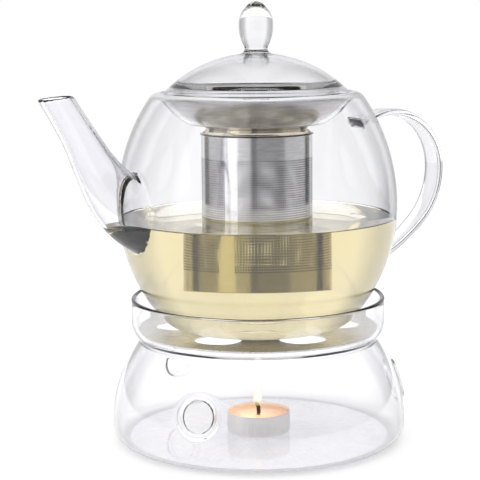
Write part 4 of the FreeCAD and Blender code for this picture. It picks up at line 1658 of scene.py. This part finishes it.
@dataclass
class Studio:
    """The pale floor, the soft lamps, the bright room seen in the glass, and the camera."""

    floor_radius: float = 850.0
    floor_depth: float = 2.0
    room_turn: float = math.radians(-60.0)
    diffuse_light: float = 0.78
    # walls seen in polished steel: degrees round from behind, and brightness
    walls: tuple[Point, ...] = (
        (-180, 0.3), (-125, 0.3), (-118, 0.6), (-66, 0.65), (-60, 0.08), (-46, 0.08), (-40, 0.9),
        (-34, 1.0), (-26, 0.7), (-18, 0.7), (-12, 1.0), (12, 1.0), (18, 0.7), (26, 0.7), (34, 1.0),
        (40, 0.9), (46, 0.1), (60, 0.1), (66, 0.55), (105, 0.6), (112, 1.5), (138, 1.5), (142, 0.8),
        (165, 0.75), (169, 0.15), (177, 0.15), (180, 0.3),
    )
    brightest_wall: float = 2.0
    camera_place: tuple[float, float, float] = (-0.4378, -0.7379, 0.2469)
    camera_tilt: float = math.radians(81.4)
    camera_turn: float = math.radians(-30.0)
    camera_roll: float = math.radians(-0.5)
    lens: float = 111.0
    sensor: float = 36.0
    bounces: int = 28

    def build(self) -> None:
        """Sets up everything round the object."""
        self.floor()
        self.room()
        self.lamps()
        self.camera()
        scene = bpy.context.scene
        scene.view_settings.view_transform = "Standard"
        # light crosses up to a dozen glass faces and comes back
        scene.cycles.max_bounces = scene.cycles.transmission_bounces = self.bounces

    def floor(self) -> None:
        """Lays a round pale floor."""
        disc = (
            Outline(0.0, -self.floor_depth)
            .line(self.floor_radius, -self.floor_depth, step=40.0)
            .line(self.floor_radius, 0.0, step=4.0)
            .line(0.0, 0.0, step=40.0)
        )
        floor = lathe("floor", disc, sides=96)
        nodes = Nodes("floor_white")
        tone = nodes.blend(nodes.noise(4.0), (0.86, 0.86, 0.865), (0.9, 0.9, 0.9))
        body = nodes.add("BsdfDiffuse", Color=tone).outputs[0]
        seen = nodes.add("LightPath").outputs["Is Camera Ray"]
        glow = nodes.ramp(seen, 0.0, 1.0, 0.29, 0.3)
        light = nodes.add("Emission", Color=(1.0, 1.0, 1.0), Strength=glow).outputs[0]
        floor.data.materials.append(nodes.finish(nodes.add("AddShader", n0=body, n1=light).outputs[0]))

    def room(self) -> None:
        """Surrounds the set with a white room.

        Each kind of ray sees its own walls: plain white for the camera, dark strips for light that passed
        through glass, and a run of light and dark panels for reflections. They draw the outlines of the
        glass and the steel.
        """
        nodes = Nodes("room", world=True)
        parts = nodes.add("SeparateXYZ", n0=nodes.add("TexCoord").outputs["Generated"]).outputs
        angle = nodes.calc("ARCTAN2", parts["Y"], parts["X"])
        around = nodes.calc("WRAP", nodes.calc("ADD", angle, self.room_turn), math.pi, -math.pi)
        mirrors = self.mirrored_walls(nodes, nodes.ramp(around, -math.pi, math.pi))
        beat = nodes.calc("COSINE", nodes.calc("MULTIPLY", around, 4.0))
        strips, zenith = nodes.ramp(beat, -0.8, 0.0, 0.6, 1.0), nodes.ramp(parts["Z"], 0.6, 0.97, 1.0, 0.6)
        through = nodes.calc("MULTIPLY", strips, zenith)
        path = nodes.add("LightPath").outputs
        mirrored, refracted, soft = (
            nodes.calc("GREATER_THAN", path[depth], 0.5)
            for depth in ("Glossy Depth", "Transmission Depth", "Diffuse Depth")
        )
        plain = nodes.calc("MAXIMUM", path["Is Camera Ray"], soft)
        value = nodes.add("Mix", n0=refracted, n2=1.0, n3=through).outputs[0]
        value = nodes.add("Mix", n0=mirrored, n2=value, n3=mirrors).outputs[0]
        light = nodes.add("Mix", n0=soft, n2=1.0, n3=self.diffuse_light).outputs[0]
        value = nodes.add("Mix", n0=plain, n2=value, n3=light).outputs[0]
        room = nodes.finish(nodes.add("Background", Color=(1.0, 1.0, 1.0), Strength=value).outputs[0])
        bpy.context.scene.world = room

    def mirrored_walls(self, nodes: Nodes, share: bpy.types.NodeSocket) -> bpy.types.NodeSocket:
        """Adds the curve that gives the walls' brightness round the room.

        Args:
            nodes: The room's tree.
            share: How far round the room, from 0 to 1.

        Returns:
            The brightness.
        """
        walls = nodes.add("FloatCurve", n1=share)
        walls.mapping.clip_max_y = self.brightest_wall
        points = walls.mapping.curves[0].points
        while len(points) > 2:
            points.remove(points[0])
        places = [((degrees + 180) / 360, value) for degrees, value in self.walls]
        points[0].location, points[-1].location = places[0], places[-1]
        for place in places[1:-1]:
            points.new(*place)
        for point in points:
            point.handle_type = "VECTOR"
        walls.mapping.update()
        return walls.outputs[0]

    def lamps(self) -> None:
        """Hangs the soft lamps: one overhead, one to each side behind, and the flame's own light."""
        for name, place, aim, size, watts in (
            ("lamp_top", (0.0, 0.0, 1.3), (0.0, 0.0, 0.1), 1.2, 3.0),
            ("lamp_left", (-0.9, 0.5, 0.5), (0.0, 0.0, 0.05), 0.25, 2.5),
            ("lamp_right", (0.75, 0.75, 0.5), (0.0, 0.0, 0.05), 0.25, 2.5),
        ):
            light = bpy.data.lights.new(name, "AREA")
            light.size, light.energy = size, watts
            lamp = bpy.data.objects.new(name, light)
            lamp.location = place
            lamp.rotation_euler = (Vector(aim) - Vector(place)).to_track_quat("-Z", "Y").to_euler()
            lamp.visible_camera = lamp.visible_transmission = lamp.visible_glossy = False
            bpy.context.scene.collection.objects.link(lamp)
        light = bpy.data.lights.new("flame_light", "POINT")
        light.energy, light.color, light.shadow_soft_size = 0.03, (1.0, 0.66, 0.38), 0.004
        lamp = bpy.data.objects.new("flame_light", light)
        lamp.location = (-0.001, 0.0, 0.026)
        lamp.visible_glossy = lamp.visible_transmission = False
        bpy.context.scene.collection.objects.link(lamp)

    def camera(self) -> None:
        """Places the camera a little above the pot's middle, turned so that the spout is on the left."""
        lens = bpy.data.cameras.new("camera")
        lens.lens, lens.sensor_width = self.lens, self.sensor
        camera = bpy.data.objects.new("camera", lens)
        camera.location = self.camera_place
        aim = Euler((self.camera_tilt, 0.0, self.camera_turn)).to_matrix()
        camera.rotation_euler = (aim @ Matrix.Rotation(self.camera_roll, 3, "Z")).to_euler()
        bpy.context.scene.collection.objects.link(camera)
        bpy.context.scene.camera = camera


def main() -> None:
    """Builds the set and the studio."""
    logging.basicConfig(level=logging.INFO, format="%(message)s", stream=sys.stdout)
    # rim is the painted shade that every glass takes where it is seen edge on
    clear, rim, shadow = (0.985, 0.985, 1.0), (0.14, 0.14, 0.18), (0.9, 0.9, 0.92)
    warmer_shadow, knob_shadow = (0.88, 0.88, 0.9), (0.88, 0.88, 0.9)
    pot_glass = Glass("pot_glass", clear, rim, shadow, wave=0.12)
    warmer_glass = Glass("warmer_glass", clear, rim, warmer_shadow, wave=0.25)
    lid_glass = Glass("lid_glass", clear, rim, shadow, wave=0.1)
    # the spout, the handle and the knob take darker, wider painted edge shade
    limb_glass = Glass("limb_glass", (0.96, 0.96, 0.985), (0.1, 0.1, 0.13), shadow, wave=0.06, edge_shade_power=2.4)
    knob_glass = Glass(
        "knob_glass", (0.95, 0.95, 0.97), (0.06, 0.06, 0.08), knob_shadow, wave=0.04, edge_shade_power=2.6
    )
    plate_steel = Metal(
        "plate_steel", (0.74, 0.72, 0.69), (0.6, 0.58, 0.55),
        smooth=0.22, rough=0.4, grain=(1.0, 30.0, 1.0), grain_scale=60.0, grain_depth=0.05,
    )
    collar_steel = Metal(
        "collar_steel", (0.98, 0.97, 0.96), (0.7, 0.68, 0.66),
        smooth=0.42, rough=0.56, grain=(1.0, 1.0, 12.0), grain_scale=90.0, grain_depth=0.06,
    )
    neck_steel = Metal(
        "neck_steel", (0.86, 0.82, 0.74), (0.74, 0.7, 0.62),
        smooth=0.05, rough=0.12, grain=(1.0, 1.0, 14.0), grain_scale=110.0, grain_depth=0.02,
    )
    # the crimp's near-black band below 180.2 mm is painted shadow along the gap at its lower edge
    crimp_steel = Metal(
        "crimp_steel", (0.86, 0.82, 0.74), (0.74, 0.7, 0.62),
        smooth=0.08, rough=0.16, grain=(1.0, 1.0, 14.0), grain_scale=110.0, grain_depth=0.02,
        stain_and_shade=(0.08, 0.075, 0.07), stain_and_shade_level=180.2, stain_and_shade_edge=0.25,
    )
    basket_steel = Metal(
        "basket_steel", (0.84, 0.83, 0.84), (0.76, 0.75, 0.76),
        smooth=0.12, rough=0.2, grain=(1.0, 1.0, 10.0), grain_scale=120.0, grain_depth=0.008,
        stain_and_shade=(0.6, 0.53, 0.26), stain_and_shade_level=Tea.level,
    )
    # a dark copy of the basket steel for its inner faces: painted shade
    basket_inside_shade = Metal(
        "basket_inside_shade", (0.2, 0.19, 0.18), (0.12, 0.115, 0.11),
        smooth=0.4, rough=0.6, grain=(1.0, 1.0, 10.0), grain_scale=120.0, grain_depth=0.008,
        stain_and_shade=(0.8, 0.6, 0.3), stain_and_shade_level=Tea.level,
    )
    tin = Metal(
        "cup_aluminium", (0.97, 0.95, 0.93), (0.9, 0.88, 0.86),
        smooth=0.28, rough=0.45, grain=(1.0, 1.0, 12.0), grain_scale=150.0, grain_depth=0.02, metallic=0.55,
    )
    clip = Metal(
        "clip_steel", (0.6, 0.6, 0.6), (0.5, 0.5, 0.5),
        smooth=0.3, rough=0.5, grain=(8.0, 1.0, 1.0), grain_scale=150.0, grain_depth=0.03,
    )
    flame_heart = Vector((-0.001, 0.0, 0.022))
    wax = Wax("candle_wax", (0.82, 0.64, 0.52), (1.0, 0.5, 0.3), strength=0.2, flame=flame_heart)
    cord = Cord(
        "wick_cord", (0.012, 0.01, 0.008), (1.0, 0.3, 0.05), (0.5, 0.4, 0.3), char_from=11.4, char_to=13.2
    )
    fire = Fire(
        "flame", (1.0, 0.97, 0.86), (1.0, 0.62, 0.25), (1.0, 0.7, 0.4),
        strength=1.3, low=Tealight.flame_foot, high=Tealight.flame_tip,
    )
    Warmer(warmer_glass).build()
    dress_node("warmer_plate", plate_steel.material())
    pot = Pot(pot_glass, limb_glass)
    pot.build()
    Tea(Liquor("tea_liquor", (0.915, 0.8, 0.3), density=8.0), pot).build()
    Infuser(collar_steel, neck_steel, crimp_steel, basket_steel, basket_inside_shade, pot).build()
    Lid(lid_glass, knob_glass).build()
    Tealight(tin, clip, wax, cord, fire).build()
    Studio().build()


if __name__ == "__main__":
    main()
